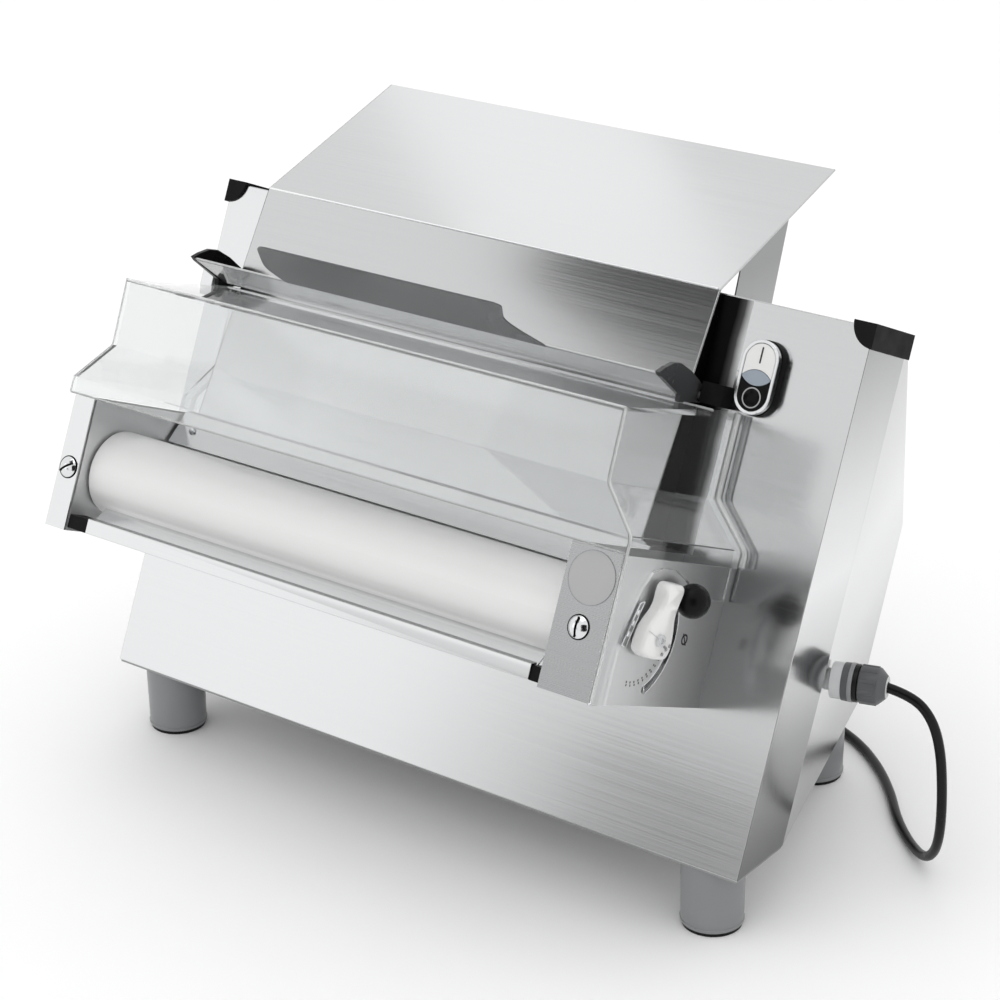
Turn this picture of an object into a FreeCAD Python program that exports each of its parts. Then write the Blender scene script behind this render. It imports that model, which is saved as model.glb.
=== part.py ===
import FreeCAD, Part

import math
import os

from FreeCAD import Placement, Rotation, Vector

# Bench-top dough sheeter with one pair of rollers on a leaning front panel.
# Millimetres. X runs along the rollers, Y runs backwards, Z is up, the feet stand on Z = 0.
# Most pieces are drawn in panel coordinates (x, s, d): s is the distance up the leaning panel
# from its bottom edge, and d is the distance in front of the panel.

# --- driving dimensions: casing ---
HALF_WIDTH = 300.0
LEAN_DEG = 24.18
PANEL_LENGTH = 402.0
BASE_HEIGHT = 58.4
TRAY_DEPTH = 55.3
SHEET = 1.5
BASE_THICK = 2.0
COVER_TOP = (232.0, 347.0, 191.0)
COVER_BOTTOM_Y = 290.0
FOOT_RADIUS = 23.8
FOOT_PLACES = ((-263.0, 27.0), (263.0, 27.0), (-209.0, 260.0), (209.0, 260.0))
PAD_THICK = 3.0

# --- driving dimensions: roller unit ---
ROLLER_S = 159.0
FRONT_D = 104.5
ROLLER_GAP = 5.0
ROLLER_RADIUS = 33.0
REAR_D = FRONT_D - 2 * ROLLER_RADIUS - ROLLER_GAP
ROLLER_LEFT = -256.0
ROLLER_RIGHT = 190.0
FRAME_LEFT = -278.0
FRAME_RIGHT = 236.0
FRAME_BOTTOM_S = 109.0
FRAME_TOP_S = 212.0
FRAME_D = 147.0
PLATE = 2.0
LEFT_FLANGE = 20.0
RIGHT_FLANGE = 44.0
INNER_PLATE_X = 192.0
LEFT_PLATE_X = (-258.6, -257.1)

# --- driving dimensions: gap adjustment ---
TRAVEL = 4.5
LEVER_TURN_DEG = 100.0
LEVER_S = ROLLER_S
LEVER_D = 103.0
CAM_THROW = TRAVEL / (2 * math.sin(math.radians(LEVER_TURN_DEG / 2)))
CAM_RADIUS = 9.0
SLOT_RADIUS = 43.6
KNOB_ANGLE = 42.0
KNOB_RADIUS = 12.3

# --- driving dimensions: gears ---
TEETH = 17
PITCH_RADIUS = 33.25
TIP_RADIUS = 36.9
ROOT_RADIUS = 28.7
TOOTH_THIN = 0.45
GEAR_X0 = 196.5
GEAR_X1 = 207.5
PINION_D = REAR_D - 2 * PITCH_RADIUS - 0.6

# --- driving dimensions: chute, funnel and guard ---
CHUTE_LEFT = -257.0
CHUTE_RIGHT = 175.0
CHUTE_TOP = (404.0, 5.4)
CHUTE_FOOT = (211.0, 31.0)
SHELF_DEPTH = 166.7
SHELF_TILT_DEG = 17.9
HINGE_S = 326.0
HINGE_D = 9.0
GUARD_WALL = 3.0
GUARD_LEFT = -257.0
GUARD_RIGHT = 207.3
SKIRT_LEFT = -281.4
SKIRT_RIGHT = 239.4
GUARD_REAR_D = 6.0

# --- driving dimensions: switch and cord ---
BUTTON_X = 223.5
BUTTON_S = 348.4
BEZEL_WIDTH = 29.5
BEZEL_HEIGHT = 54.5
BEZEL_D = 11.0
GASKET_D = 5.0
CORD_DIAMETER = 7.5
CORD_LENGTH = 1800.0
COIL_CENTRE = (92.0, 388.0)
COIL_TURN_RADIUS = 40.0

SIN = math.sin(math.radians(LEAN_DEG))
COS = math.cos(math.radians(LEAN_DEG))
PANEL_PLACEMENT = Placement(Vector(0, 0, BASE_HEIGHT), Rotation(Vector(1, 0, 0), 90 - LEAN_DEG))
X_AXIS = Vector(1, 0, 0)

nodes = {}


# --- helpers ---
def point(x, s, d):
    """World position of a panel-coordinate point."""
    return Vector(x, s * SIN - d * COS, BASE_HEIGHT + s * COS + d * SIN)


def on_panel(shape):
    """Place a shape drawn in panel coordinates into the world."""
    placed = shape.copy()
    placed.Placement = PANEL_PLACEMENT.multiply(placed.Placement)
    return placed


def block(x0, x1, a0, a1, b0, b1):
    return Part.makeBox(x1 - x0, a1 - a0, b1 - b0, Vector(x0, a0, b0))


def rod(x0, x1, s, d, radius):
    return Part.makeCylinder(radius, x1 - x0, Vector(x0, s, d), X_AXIS)


def tube(x0, x1, s, d, outer, inner):
    return rod(x0, x1, s, d, outer).cut(rod(x0 - 1, x1 + 1, s, d, inner))


def prism_x(outline, x0, x1):
    """Extrude an outline of (second, third) coordinates along X."""
    wire = Part.makePolygon([Vector(x0, a, b) for a, b in outline + outline[:1]])
    return Part.Face(wire).extrude(Vector(x1 - x0, 0, 0))


def prism_along(points, direction):
    """Extrude a closed outline of 3-D points along a vector."""
    wire = Part.makePolygon(points + points[:1])
    return Part.Face(wire).extrude(direction)


def sheet_strip(path, thickness, x0, x1):
    """A bent sheet: a polyline of (s, d) points thickened to its left and extruded along X."""
    normals = []
    for (a0, b0), (a1, b1) in zip(path, path[1:]):
        length = math.hypot(a1 - a0, b1 - b0)
        normals.append((-(b1 - b0) / length, (a1 - a0) / length))
    offset = []
    for i, (a, b) in enumerate(path):
        before = normals[max(i - 1, 0)]
        after = normals[min(i, len(normals) - 1)]
        na = before[0] + after[0]
        nb = before[1] + after[1]
        scale = thickness * 2 / (na * na + nb * nb)
        offset.append((a + na * scale, b + nb * scale))
    return prism_x(list(path) + offset[::-1], x0, x1)


def stadium(x, s, width, height, d0, d1):
    """An upright slot shape standing on the panel, width along X and height up the panel."""
    radius = width / 2
    half = height / 2 - radius
    body = block(x - radius, x + radius, s - half, s + half, d0, d1)
    for end in (s - half, s + half):
        body = body.fuse(Part.makeCylinder(radius, d1 - d0, Vector(x, end, d0)))
    return body.removeSplitter()


def fuse_all(shapes):
    return shapes[0].multiFuse(shapes[1:]).removeSplitter()


def group(shapes):
    return Part.makeCompound(shapes)


def add(name, shape):
    nodes[name] = shape


def convex(planes, reach=900.0):
    """A convex solid bounded by planes, each a (point, outward normal) pair."""
    solid = Part.makeBox(2 * reach, 2 * reach, 2 * reach, Vector(-reach, -reach, -reach))
    for at, normal in planes:
        cutter = Part.makeBox(4 * reach, 4 * reach, 2 * reach, Vector(-2 * reach, -2 * reach, 0))
        cutter.Placement = Placement(at, Rotation(Vector(0, 0, 1), normal))
        solid = solid.cut(cutter)
    return solid


def gear(x0, x1, s, d, bore):
    """A spur gear about X with one tooth centred towards +d."""
    pressure = math.radians(20.0)
    base = PITCH_RADIUS * math.cos(pressure)
    module = 2 * PITCH_RADIUS / TEETH
    half_pitch = (math.pi * module / 2 - TOOTH_THIN) / (2 * PITCH_RADIUS)
    involute = math.tan(pressure) - pressure

    def half_angle(radius):
        roll = math.acos(min(1.0, base / radius))
        return half_pitch + involute - (math.tan(roll) - roll)

    steps = 4
    radii = [base + (TIP_RADIUS - base) * i / steps for i in range(steps + 1)]
    flank = [(ROOT_RADIUS, half_angle(base))] + [(r, half_angle(r)) for r in radii]
    outline = []
    for tooth in range(TEETH):
        centre = 2 * math.pi * tooth / TEETH
        side = [(r, centre - a) for r, a in flank] + [(r, centre + a) for r, a in flank[::-1]]
        outline += [(s + r * math.sin(t), d + r * math.cos(t)) for r, t in side]
    return prism_x(outline, x0, x1).cut(rod(x0 - 1, x1 + 1, s, d, bore))


def hex_prism(centre, axis, across, length):
    """A hexagonal prism starting at a point and running along an axis."""
    radius = across / math.sqrt(3)
    corners = [Vector(radius * math.cos(math.radians(60 * i)), radius * math.sin(math.radians(60 * i)), 0)
               for i in range(6)]
    solid = prism_along(corners, Vector(0, 0, length))
    solid.Placement = Placement(centre, Rotation(Vector(0, 0, 1), axis))
    return solid


def arc_point(angle_deg, radius):
    """A point round the lever pivot; 0 degrees points at the panel and 90 degrees up it."""
    angle = math.radians(angle_deg)
    return LEVER_S + radius * math.sin(angle), LEVER_D - radius * math.cos(angle)


# --- casing ---
TRAY_TOP = (PANEL_LENGTH * SIN, BASE_HEIGHT + PANEL_LENGTH * COS)
TRAY_REAR = (TRAY_TOP[0] + TRAY_DEPTH * COS, TRAY_TOP[1] - TRAY_DEPTH * SIN)
TRAY_FOOT_Y = TRAY_DEPTH / COS


def front_tray():
    lip = PANEL_LENGTH - SHEET
    parts = [on_panel(block(-HALF_WIDTH, HALF_WIDTH, 0, PANEL_LENGTH, -SHEET, 0)),
             on_panel(block(-HALF_WIDTH, HALF_WIDTH, lip, PANEL_LENGTH, -TRAY_DEPTH, 0))]
    side = [(0, BASE_HEIGHT), TRAY_TOP, TRAY_REAR, (TRAY_FOOT_Y, BASE_HEIGHT)]
    for x0 in (-HALF_WIDTH, HALF_WIDTH - SHEET):
        parts.append(prism_x(side, x0, x0 + SHEET))
    tray = fuse_all(parts)
    holes = [block(GEAR_X0 - 2.5, GEAR_X1 + 2.5, ROLLER_S - 23, ROLLER_S + 23, -4, 3),
             Part.makeCylinder(11.3, 8, Vector(BUTTON_X, BUTTON_S, -4))]
    for hole in holes:
        tray = tray.cut(on_panel(hole))
    below = Part.makeBox(800, 800, 60, Vector(-400, -400, BASE_HEIGHT - 60))
    return tray.cut(below)


def cover_planes(inset):
    """Outer planes of the tapered rear cover, each moved inwards by inset."""
    top = Vector(*COVER_TOP)
    rear = Vector(HALF_WIDTH, TRAY_REAR[0], TRAY_REAR[1])
    foot = Vector(HALF_WIDTH, TRAY_FOOT_Y, BASE_HEIGHT)
    facet = (rear - foot).cross(top - foot).normalize()
    mirrored = Vector(-facet.x, facet.y, facet.z)
    back = Vector(0, top.y - COVER_BOTTOM_Y, top.z - BASE_HEIGHT)
    back = Vector(0, back.z, -back.y).normalize()
    slope = Vector(0, top.y - rear.y, top.z - rear.z)
    slope = Vector(0, -slope.z, slope.y).normalize()
    if facet.x < 0:
        facet = facet * -1
        mirrored = mirrored * -1
    planes = []
    for at, normal in ((foot, facet), (Vector(-foot.x, foot.y, foot.z), mirrored), (top, back), (top, slope)):
        planes.append((at - normal * inset, normal))
    return planes, facet


def rear_cover():
    front_plane = point(0, 0, -TRAY_DEPTH - 0.05)
    facing = Vector(0, -COS, SIN)
    outer_planes, _ = cover_planes(0)
    inner_planes, _ = cover_planes(SHEET)
    floor = Vector(0, 0, BASE_HEIGHT)
    outer = convex(outer_planes + [(front_plane, facing), (floor, Vector(0, 0, -1))])
    inner = convex(inner_planes + [(front_plane + facing * 5, facing), (floor - Vector(0, 0, 5), Vector(0, 0, -1))])
    shell = outer.cut(inner)
    for i in range(8):
        x = -105 + 30 * i
        slot = block(x - 3, x + 3, -40, 40, -14, 14)
        slot.Placement = Placement(Vector(0, COVER_BOTTOM_Y + 30, BASE_HEIGHT + 78), Rotation(X_AXIS, 66))
        shell = shell.cut(slot)
    return shell.cut(gland_bore())


def base_plate():
    inset = 1.2
    outline = [Vector(-HALF_WIDTH + inset, inset, 0), Vector(HALF_WIDTH - inset, inset, 0),
               Vector(HALF_WIDTH - inset, TRAY_FOOT_Y, 0), Vector(229.0, COVER_BOTTOM_Y - inset, 0),
               Vector(-229.0, COVER_BOTTOM_Y - inset, 0), Vector(-HALF_WIDTH + inset, TRAY_FOOT_Y, 0)]
    plate = prism_along(outline, Vector(0, 0, BASE_THICK))
    plate.translate(Vector(0, 0, BASE_HEIGHT - BASE_THICK))
    for x, y in FOOT_PLACES:
        plate = plate.cut(Part.makeCylinder(4.2, 10, Vector(x, y, BASE_HEIGHT - 6)))
    return plate


def corner_cap(side):
    """Moulded cap over a top corner of the tray, a quarter disc on the front face."""
    thick = 2.4
    drop = 16.0
    x_in = HALF_WIDTH - drop
    x_out = HALF_WIDTH + thick
    s_low = PANEL_LENGTH - drop
    s_top = PANEL_LENGTH + thick
    back = -TRAY_DEPTH - 4
    disc = Part.makeCylinder(drop + thick, thick - 0.05, Vector(x_out, s_top, 0.05))
    front = disc.common(block(x_in, x_out, s_low, s_top, 0, thick))
    top = block(x_in, x_out, PANEL_LENGTH + 0.05, s_top, back, thick)
    outer = block(HALF_WIDTH + 0.05, x_out, s_low, s_top, back, thick)
    cap = fuse_all([front, top, outer])
    if side < 0:
        cap = cap.mirror(Vector(0, 0, 0), X_AXIS)
    return on_panel(cap)


def build_casing():
    add("front_tray", front_tray())
    add("rear_cover", rear_cover())
    add("base_plate", base_plate())
    add("corner_caps", group([corner_cap(-1), corner_cap(1)]))
    feet = []
    pads = []
    screws = []
    for x, y in FOOT_PLACES:
        top = BASE_HEIGHT - BASE_THICK
        leg = Part.makeCone(FOOT_RADIUS - 0.6, FOOT_RADIUS, top - PAD_THICK, Vector(x, y, PAD_THICK))
        bore = Part.makeCylinder(4.2, 40, Vector(x, y, top - 39))
        feet.append(leg.cut(bore))
        pads.append(Part.makeCylinder(FOOT_RADIUS - 1.6, PAD_THICK, Vector(x, y, 0)))
        shank = Part.makeCylinder(4.0, 40, Vector(x, y, BASE_HEIGHT - 38))
        head = hex_prism(Vector(x, y, BASE_HEIGHT), Vector(0, 0, 1), 13, 5.3)
        screws.append(shank.fuse(head).removeSplitter())
    add("feet", group(feet))
    add("foot_pads", group(pads))
    add("foot_screws", group(screws))


# --- chute ---
def chute_d(s):
    """Distance of the chute plate in front of the panel at a height s."""
    share = (CHUTE_TOP[0] - s) / (CHUTE_TOP[0] - CHUTE_FOOT[0])
    return CHUTE_TOP[1] + share * (CHUTE_FOOT[1] - CHUTE_TOP[1])


def shelf_line():
    """World (y, z) of the shelf's bend line and of its rear edge."""
    bend = point(0, *CHUTE_TOP)
    tilt = math.radians(SHELF_TILT_DEG)
    return (bend.y, bend.z), (bend.y + SHELF_DEPTH * math.cos(tilt), bend.z + SHELF_DEPTH * math.sin(tilt))


def build_chute():
    bend, rear = shelf_line()
    foot = point(0, *CHUTE_FOOT)
    path = [rear, bend, (foot.y, foot.z)]
    chute = sheet_strip(path, SHEET, CHUTE_LEFT, CHUTE_RIGHT)
    guard_notch = block(CHUTE_LEFT - 1, CHUTE_LEFT + 4.5, CHUTE_FOOT[0] - 6, HINGE_S + 5, 0, 45)
    add("hopper_chute", chute.cut(on_panel(guard_notch)))
    rise = math.tan(math.radians(SHELF_TILT_DEG))

    def under(y):
        return bend[1] + (y - bend[0]) * rise - SHEET - 0.35

    slope = (COVER_TOP[2] - TRAY_REAR[1]) / (COVER_TOP[1] - TRAY_REAR[0])
    lip_slope = (TRAY_REAR[1] - TRAY_TOP[1]) / (TRAY_REAR[0] - TRAY_TOP[0])
    low_y = 230.0
    outline = [(184.5, TRAY_TOP[1] + (184.5 - TRAY_TOP[0]) * lip_slope + 0.2), (192.0, under(192.0)),
               (258.0, under(258.0)), (low_y, TRAY_REAR[1] + (low_y - TRAY_REAR[0]) * slope + 0.2),
               (TRAY_REAR[0] + 0.2, TRAY_REAR[1] + 0.3)]
    gussets = [prism_x(outline, CHUTE_RIGHT - 4.0, CHUTE_RIGHT - 2.5),
               prism_x(outline, CHUTE_LEFT + 2.5, CHUTE_LEFT + 4.0)]
    add("hopper_gussets", group(gussets))


# --- roller frame ---
def side_plate(x_outer, x_inner, flange_inner):
    """Outer side plate with its front flange bent inwards."""
    low, high = min(x_outer, x_inner), max(x_outer, x_inner)
    web = block(low, high, FRAME_BOTTOM_S, FRAME_TOP_S, 0.05, FRAME_D)
    f_low, f_high = min(x_outer, flange_inner), max(x_outer, flange_inner)
    flange = block(f_low, f_high, FRAME_BOTTOM_S, FRAME_TOP_S, FRAME_D - PLATE, FRAME_D)
    return web.fuse(flange).removeSplitter()


def arc_slot(radius, half_width, start_deg, end_deg, x0, x1):
    """An arc-shaped slot round the lever pivot, ready to cut."""
    ring = rod(x0, x1, LEVER_S, LEVER_D, radius + half_width)
    ring = ring.cut(rod(x0 - 1, x1 + 1, LEVER_S, LEVER_D, radius - half_width))
    steps = 6
    wedge = [(LEVER_S, LEVER_D)]
    for i in range(steps + 1):
        wedge.append(arc_point(start_deg + (end_deg - start_deg) * i / steps, radius * 1.4))
    slot = ring.common(prism_x(wedge, x0, x1))
    for angle in (start_deg, end_deg):
        s, d = arc_point(angle, radius)
        slot = slot.fuse(rod(x0, x1, s, d, half_width))
    return slot


def bearing_block(x0, x1, window_x0, window_x1, spigot_x0, spigot_x1):
    """Sliding block with a cam window on one face and a hollow spigot for the roller."""
    body = block(x0, x1, ROLLER_S - 25, ROLLER_S + 25, FRONT_D - 17, FRONT_D + 17)
    body = body.fuse(rod(spigot_x0, spigot_x1, ROLLER_S, FRONT_D, 11.0))
    body = body.cut(rod(spigot_x0 - 1, max(x1, spigot_x1) + 1, ROLLER_S, FRONT_D, 8.5))
    lift = CAM_THROW * (1 - math.cos(math.radians(LEVER_TURN_DEG / 2)))
    wide = CAM_RADIUS + 0.3
    tall = CAM_RADIUS + CAM_THROW + lift + 0.6
    centre_d = LEVER_D + TRAVEL / 2
    window = block(window_x0, window_x1, LEVER_S - tall, LEVER_S + tall, centre_d - wide, centre_d + wide)
    return body.cut(window)


def end_plate_left():
    """Thin plate behind the left flange, with holes for the block's spigot and the rear shaft."""
    x0, x1 = LEFT_PLATE_X
    cut0, cut1 = x0 - 1, x1 + 1
    plate = block(x0, x1, FRAME_BOTTOM_S, FRAME_TOP_S, 0.05, FRAME_D - PLATE - 0.1)
    plate = plate.cut(block(cut0, cut1, ROLLER_S - 11.4, ROLLER_S + 11.4, FRONT_D - TRAVEL, FRONT_D))
    for d in (FRONT_D, FRONT_D - TRAVEL):
        plate = plate.cut(rod(cut0, cut1, ROLLER_S, d, 11.4))
    return plate.cut(rod(cut0, cut1, ROLLER_S, REAR_D, 10.5))


def build_frame():
    left = side_plate(FRAME_LEFT, FRAME_LEFT + PLATE, FRAME_LEFT + LEFT_FLANGE)
    right = side_plate(FRAME_RIGHT, FRAME_RIGHT - PLATE, FRAME_RIGHT - RIGHT_FLANGE)
    right = right.cut(arc_slot(SLOT_RADIUS, 2.9, KNOB_ANGLE + 3, KNOB_ANGLE - LEVER_TURN_DEG - 3, 230, 240))
    for x0 in (FRAME_LEFT - 1, FRAME_RIGHT - PLATE - 1):
        journal = rod(x0, x0 + PLATE + 2, LEVER_S, LEVER_D, 5.05)
        left = left.cut(journal)
        right = right.cut(journal)
    left = left.cut(rod(FRAME_LEFT - 1, FRAME_LEFT + PLATE + 1, ROLLER_S, REAR_D, 4.0))
    screw_holes = [Part.makeCylinder(3.2, 10, Vector(x, ROLLER_S - 2.5, FRAME_D - 6)) for x in (-268.0, 213.0)]
    left = left.cut(screw_holes[0])
    right = right.cut(screw_holes[1])
    add("side_plate_left", on_panel(left))
    add("side_plate_right", on_panel(right))

    inner = block(INNER_PLATE_X, INNER_PLATE_X + PLATE, FRAME_BOTTOM_S, FRAME_TOP_S, 0.05, FRAME_D - PLATE - 0.1)
    path_of_hub = block(INNER_PLATE_X - 1, INNER_PLATE_X + PLATE + 1, ROLLER_S - 18, ROLLER_S + 18,
                        FRONT_D - TRAVEL, FRONT_D)
    inner = inner.cut(path_of_hub)
    for d in (FRONT_D, FRONT_D - TRAVEL):
        inner = inner.cut(rod(INNER_PLATE_X - 1, INNER_PLATE_X + PLATE + 1, ROLLER_S, d, 18.0))
    inner = inner.cut(rod(INNER_PLATE_X - 1, INNER_PLATE_X + PLATE + 1, ROLLER_S, REAR_D, 10.5))
    add("bearing_plate_inner", group([on_panel(inner), on_panel(end_plate_left())]))

    guides = []
    for x0, x1 in ((FRAME_LEFT + PLATE + 0.05, -259.0), (212.0, FRAME_RIGHT - PLATE - 0.05)):
        for s0, s1 in ((ROLLER_S + 25.3, ROLLER_S + 31), (ROLLER_S - 31, ROLLER_S - 25.3)):
            guides.append(on_panel(block(x0, x1, s0, s1, FRONT_D - 21.5, FRONT_D + 22)))
    add("block_guides", group(guides))

    heads = []
    for x, slot_turn in ((-268.0, 35.0), (213.0, 90.0)):
        axis = Vector(0, 0, 1)
        dome = Part.makeSphere(11.5, Vector(x, ROLLER_S - 2.5, FRAME_D - 7.4))
        dome = dome.common(Part.makeCylinder(8.0, 12, Vector(x, ROLLER_S - 2.5, FRAME_D + 0.05), axis))
        slot = block(x - 10, x + 10, ROLLER_S - 3.4, ROLLER_S - 1.6, FRAME_D + 2.4, FRAME_D + 8)
        slot.rotate(Vector(x, ROLLER_S - 2.5, 0), axis, slot_turn)
        shank = Part.makeCylinder(3.0, 12, Vector(x, ROLLER_S - 2.5, FRAME_D - 11.8), axis)
        heads.append(on_panel(dome.fuse(shank).cut(slot).removeSplitter()))
    add("bearing_screws", group(heads))


def build_scrapers():
    low, high = FRAME_BOTTOM_S + 2.5, FRAME_BOTTOM_S + 14.0
    x0, x1 = LEFT_PLATE_X[1] + 0.1, INNER_PLATE_X - 0.1
    left_end, right_end = 20.0, 9.0
    lower = [(low, FRAME_D - 1.0), (high, FRAME_D - 1.0), (high + 1.0, FRAME_D - 8.0),
             (high - 1.0, FRAME_D - 8.0), (high - 2.5, FRAME_D - 3.0), (low, FRAME_D - 3.0)]
    add("lower_cross_bar", on_panel(prism_x(lower, x0 + left_end, x1 - right_end)))
    blade_path = [(low + 1.0, FRAME_D - 6.0), (high - 6.0, FRAME_D - 6.0), (131.5, 128.0)]
    blade = sheet_strip(blade_path, 1.5, x0 + left_end, x1 - right_end)
    add("front_scraper", on_panel(blade))
    ends = [on_panel(block(a, b, low, high - 1.0, FRAME_D - 19, FRAME_D - 2.2))
            for a, b in ((x0, x0 + left_end - 0.1), (x1 - right_end + 0.1, x1))]
    add("scraper_end_blocks", group(ends))
    upper = sheet_strip([(188.5, 54.5), (213.0, 41.5), (214.5, 37.0)], 1.5, x0 + 2, x1 - 2)
    pins = []
    for x in (-238.0, 172.0):
        hole = Part.makeCylinder(1.6, 12, Vector(x, 201.0, 42.0), Vector(0, 0.45, 0.89))
        upper = upper.cut(hole)
        pins.append(on_panel(Part.makeSphere(3.0, Vector(x, 201.4, 49.6))))
    add("rear_roller_scraper", on_panel(upper))
    add("scraper_screws", group(pins))


# --- rollers ---
def build_rollers():
    s = ROLLER_S
    bore = 17.0
    axle = 10.0

    def sleeve(d, hole):
        body = tube(ROLLER_LEFT, ROLLER_RIGHT, s, d, ROLLER_RADIUS, hole)
        rims = [edge for edge in body.Edges
                if abs(edge.Length - 2 * math.pi * ROLLER_RADIUS) < 1.0]
        return body.makeFillet(2.5, rims)

    add("front_roller", on_panel(sleeve(FRONT_D, bore)))
    add("rear_roller", on_panel(sleeve(REAR_D, axle)))
    core = tube(ROLLER_LEFT, GEAR_X1 + 1.5, s, FRONT_D, bore, 14.0)
    add("front_roller_core", on_panel(core))
    bushes = [on_panel(tube(x0, x1, s, FRONT_D, 14.0, 11.05))
              for x0, x1 in ((ROLLER_LEFT, ROLLER_LEFT + 28), (GEAR_X1 - 26.5, GEAR_X1 + 1.5))]
    add("front_roller_bushes", group(bushes))
    add("front_gear", on_panel(gear(GEAR_X0, GEAR_X1, s, FRONT_D, bore)))

    add("rear_shaft", on_panel(rod(-270.0, 226.0, s, REAR_D, axle)))
    add("rear_gear", on_panel(gear(GEAR_X0, GEAR_X1, s, REAR_D, axle)))
    housings = []
    rings = []
    for x0, x1 in ((FRAME_LEFT + PLATE + 0.05, -259.0), (212.0, FRAME_RIGHT - PLATE - 0.05)):
        outer = block(x0, x1, s - 22, s + 22, REAR_D - 18, REAR_D + 18)
        housings.append(on_panel(outer.cut(rod(x0 - 1, x1 + 1, s, REAR_D, 14.0))))
        b0, b1 = max(x0, -271.0), min(x1, 227.0)
        rings.append(on_panel(tube(b0, b1, s, REAR_D, 14.0, axle + 0.05)))
    add("rear_bearing_housings", group(housings))
    add("rear_bushes", group(rings))

    left = bearing_block(-273.5, -259.0, -274.0, -266.5, -273.5, -232.0)
    right = bearing_block(212.0, 231.5, 223.5, 232.0, 184.0, 231.5)
    add("bearing_blocks", group([on_panel(left), on_panel(right)]))


# --- gap adjustment lever ---
def lever_body():
    """Moulded handle standing on the lever's disc, with softened edges."""
    x0, x1 = FRAME_RIGHT + 4.0, FRAME_RIGHT + 15.0
    outline = [(198.0, 85.0), (198.5, 106.0), (189.0, 110.0), (177.0, 111.5), (166.0, 120.0),
               (152.5, 120.5), (146.0, 110.0), (144.5, 88.0), (151.0, 83.5), (176.0, 84.5), (190.0, 84.0)]
    body = prism_x(outline, x0, x1)
    rims = [edge for edge in body.Edges if edge.BoundBox.XMin > x1 - 0.01]
    body = body.makeFillet(2.0, rims)
    return body.cut(rod(x0 - 1, x0 + 5.0, LEVER_S, LEVER_D, 5.0)).cut(rod(x0, x1 + 1, LEVER_S, LEVER_D, 2.0))


def build_lever():
    knob_s, knob_d = arc_point(KNOB_ANGLE, SLOT_RADIUS)
    add("lever_handle", on_panel(lever_body()))
    link = [arc_point(KNOB_ANGLE + 90, 7.0), arc_point(KNOB_ANGLE - 90, 7.0)]
    link += [(s + knob_s - LEVER_S, d + knob_d - LEVER_D) for s, d in link[::-1]]
    plate = prism_x(link, FRAME_RIGHT + 0.4, FRAME_RIGHT + 2.0)
    plate = plate.fuse(rod(FRAME_RIGHT + 0.4, FRAME_RIGHT + 2.0, knob_s, knob_d, 7.0))
    disc = rod(FRAME_RIGHT + 0.4, FRAME_RIGHT + 4.0, LEVER_S, LEVER_D, 12.0)
    plate = plate.fuse(disc).removeSplitter()
    plate = plate.cut(rod(230, 250, LEVER_S, LEVER_D, 5.0)).cut(rod(230, 250, knob_s, knob_d, 2.5))
    add("lever_link", on_panel(plate))
    stem = rod(FRAME_RIGHT - 7.5, FRAME_RIGHT + 15.0, knob_s, knob_d, 2.5)
    ball = Part.makeSphere(KNOB_RADIUS, Vector(FRAME_RIGHT + 15.0, knob_s, knob_d))
    add("lever_knob", on_panel(ball.fuse(stem).removeSplitter()))
    nut = hex_prism(Vector(FRAME_RIGHT - 7.0, knob_s, knob_d), X_AXIS, 9, 4.5)
    add("knob_nut", on_panel(nut.cut(rod(220, 240, knob_s, knob_d, 2.5))))
    screw_head = rod(FRAME_RIGHT + 15.0, FRAME_RIGHT + 17.6, LEVER_S, LEVER_D, 4.5)
    screw_head = screw_head.cut(hex_prism(Vector(FRAME_RIGHT + 15.8, LEVER_S, LEVER_D), X_AXIS, 4, 3))
    shank = rod(FRAME_RIGHT + 7.5, FRAME_RIGHT + 15.0, LEVER_S, LEVER_D, 2.0)
    add("lever_screw", on_panel(screw_head.fuse(shank)))

    shaft = rod(FRAME_LEFT + 0.1, FRAME_RIGHT + 7.5, LEVER_S, LEVER_D, 5.0)
    shaft = shaft.cut(rod(FRAME_RIGHT - 2, FRAME_RIGHT + 8, LEVER_S, LEVER_D, 2.0))
    rest = math.radians(LEVER_TURN_DEG / 2)
    cam_s = LEVER_S + CAM_THROW * math.cos(rest)
    cam_d = LEVER_D + CAM_THROW * math.sin(rest)
    for x0, x1 in ((-273.0, -267.0), (224.0, 231.0)):
        shaft = shaft.fuse(rod(x0, x1, cam_s, cam_d, CAM_RADIUS))
    add("adjusting_shaft", on_panel(shaft.removeSplitter()))
    leaf = [(182.0, 113.5), (180.5, 117.5), (152.0, 128.5), (150.5, 124.5)]
    spring = prism_x(leaf, FRAME_RIGHT + 0.05, FRAME_RIGHT + 2.6)
    add("lever_catch", on_panel(spring))


# --- guard ---
def guard_level(x0, x1, s_rear, s_front, d_front, d_rear):
    corners = [Vector(x0, s_rear, d_rear), Vector(x1, s_rear, d_rear), Vector(x1, s_front, d_front),
               Vector(x0, s_front, d_front)]
    return Part.makePolygon(corners + corners[:1])


def hood(inset, rear, bottom):
    """Outer form of the clear hood, or its hollow when inset is the wall thickness."""
    levels = []
    for x0, x1, s_rear, s_front, d in ((SKIRT_LEFT, SKIRT_RIGHT, bottom, bottom, 151.0),
                                       (SKIRT_LEFT, SKIRT_RIGHT, 225.0, 225.0, 151.0),
                                       (GUARD_LEFT, GUARD_RIGHT, 256.0, 256.0, 143.5),
                                       (GUARD_LEFT, GUARD_RIGHT, 320.5, 308.0, 145.0)):
        drop = inset if s_rear > 300 else 0
        levels.append(guard_level(x0 + inset, x1 - inset, s_rear - drop, s_front - drop, d - inset, rear))
    return fuse_all([Part.makeLoft([a, b], True, True) for a, b in zip(levels, levels[1:])])


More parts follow.
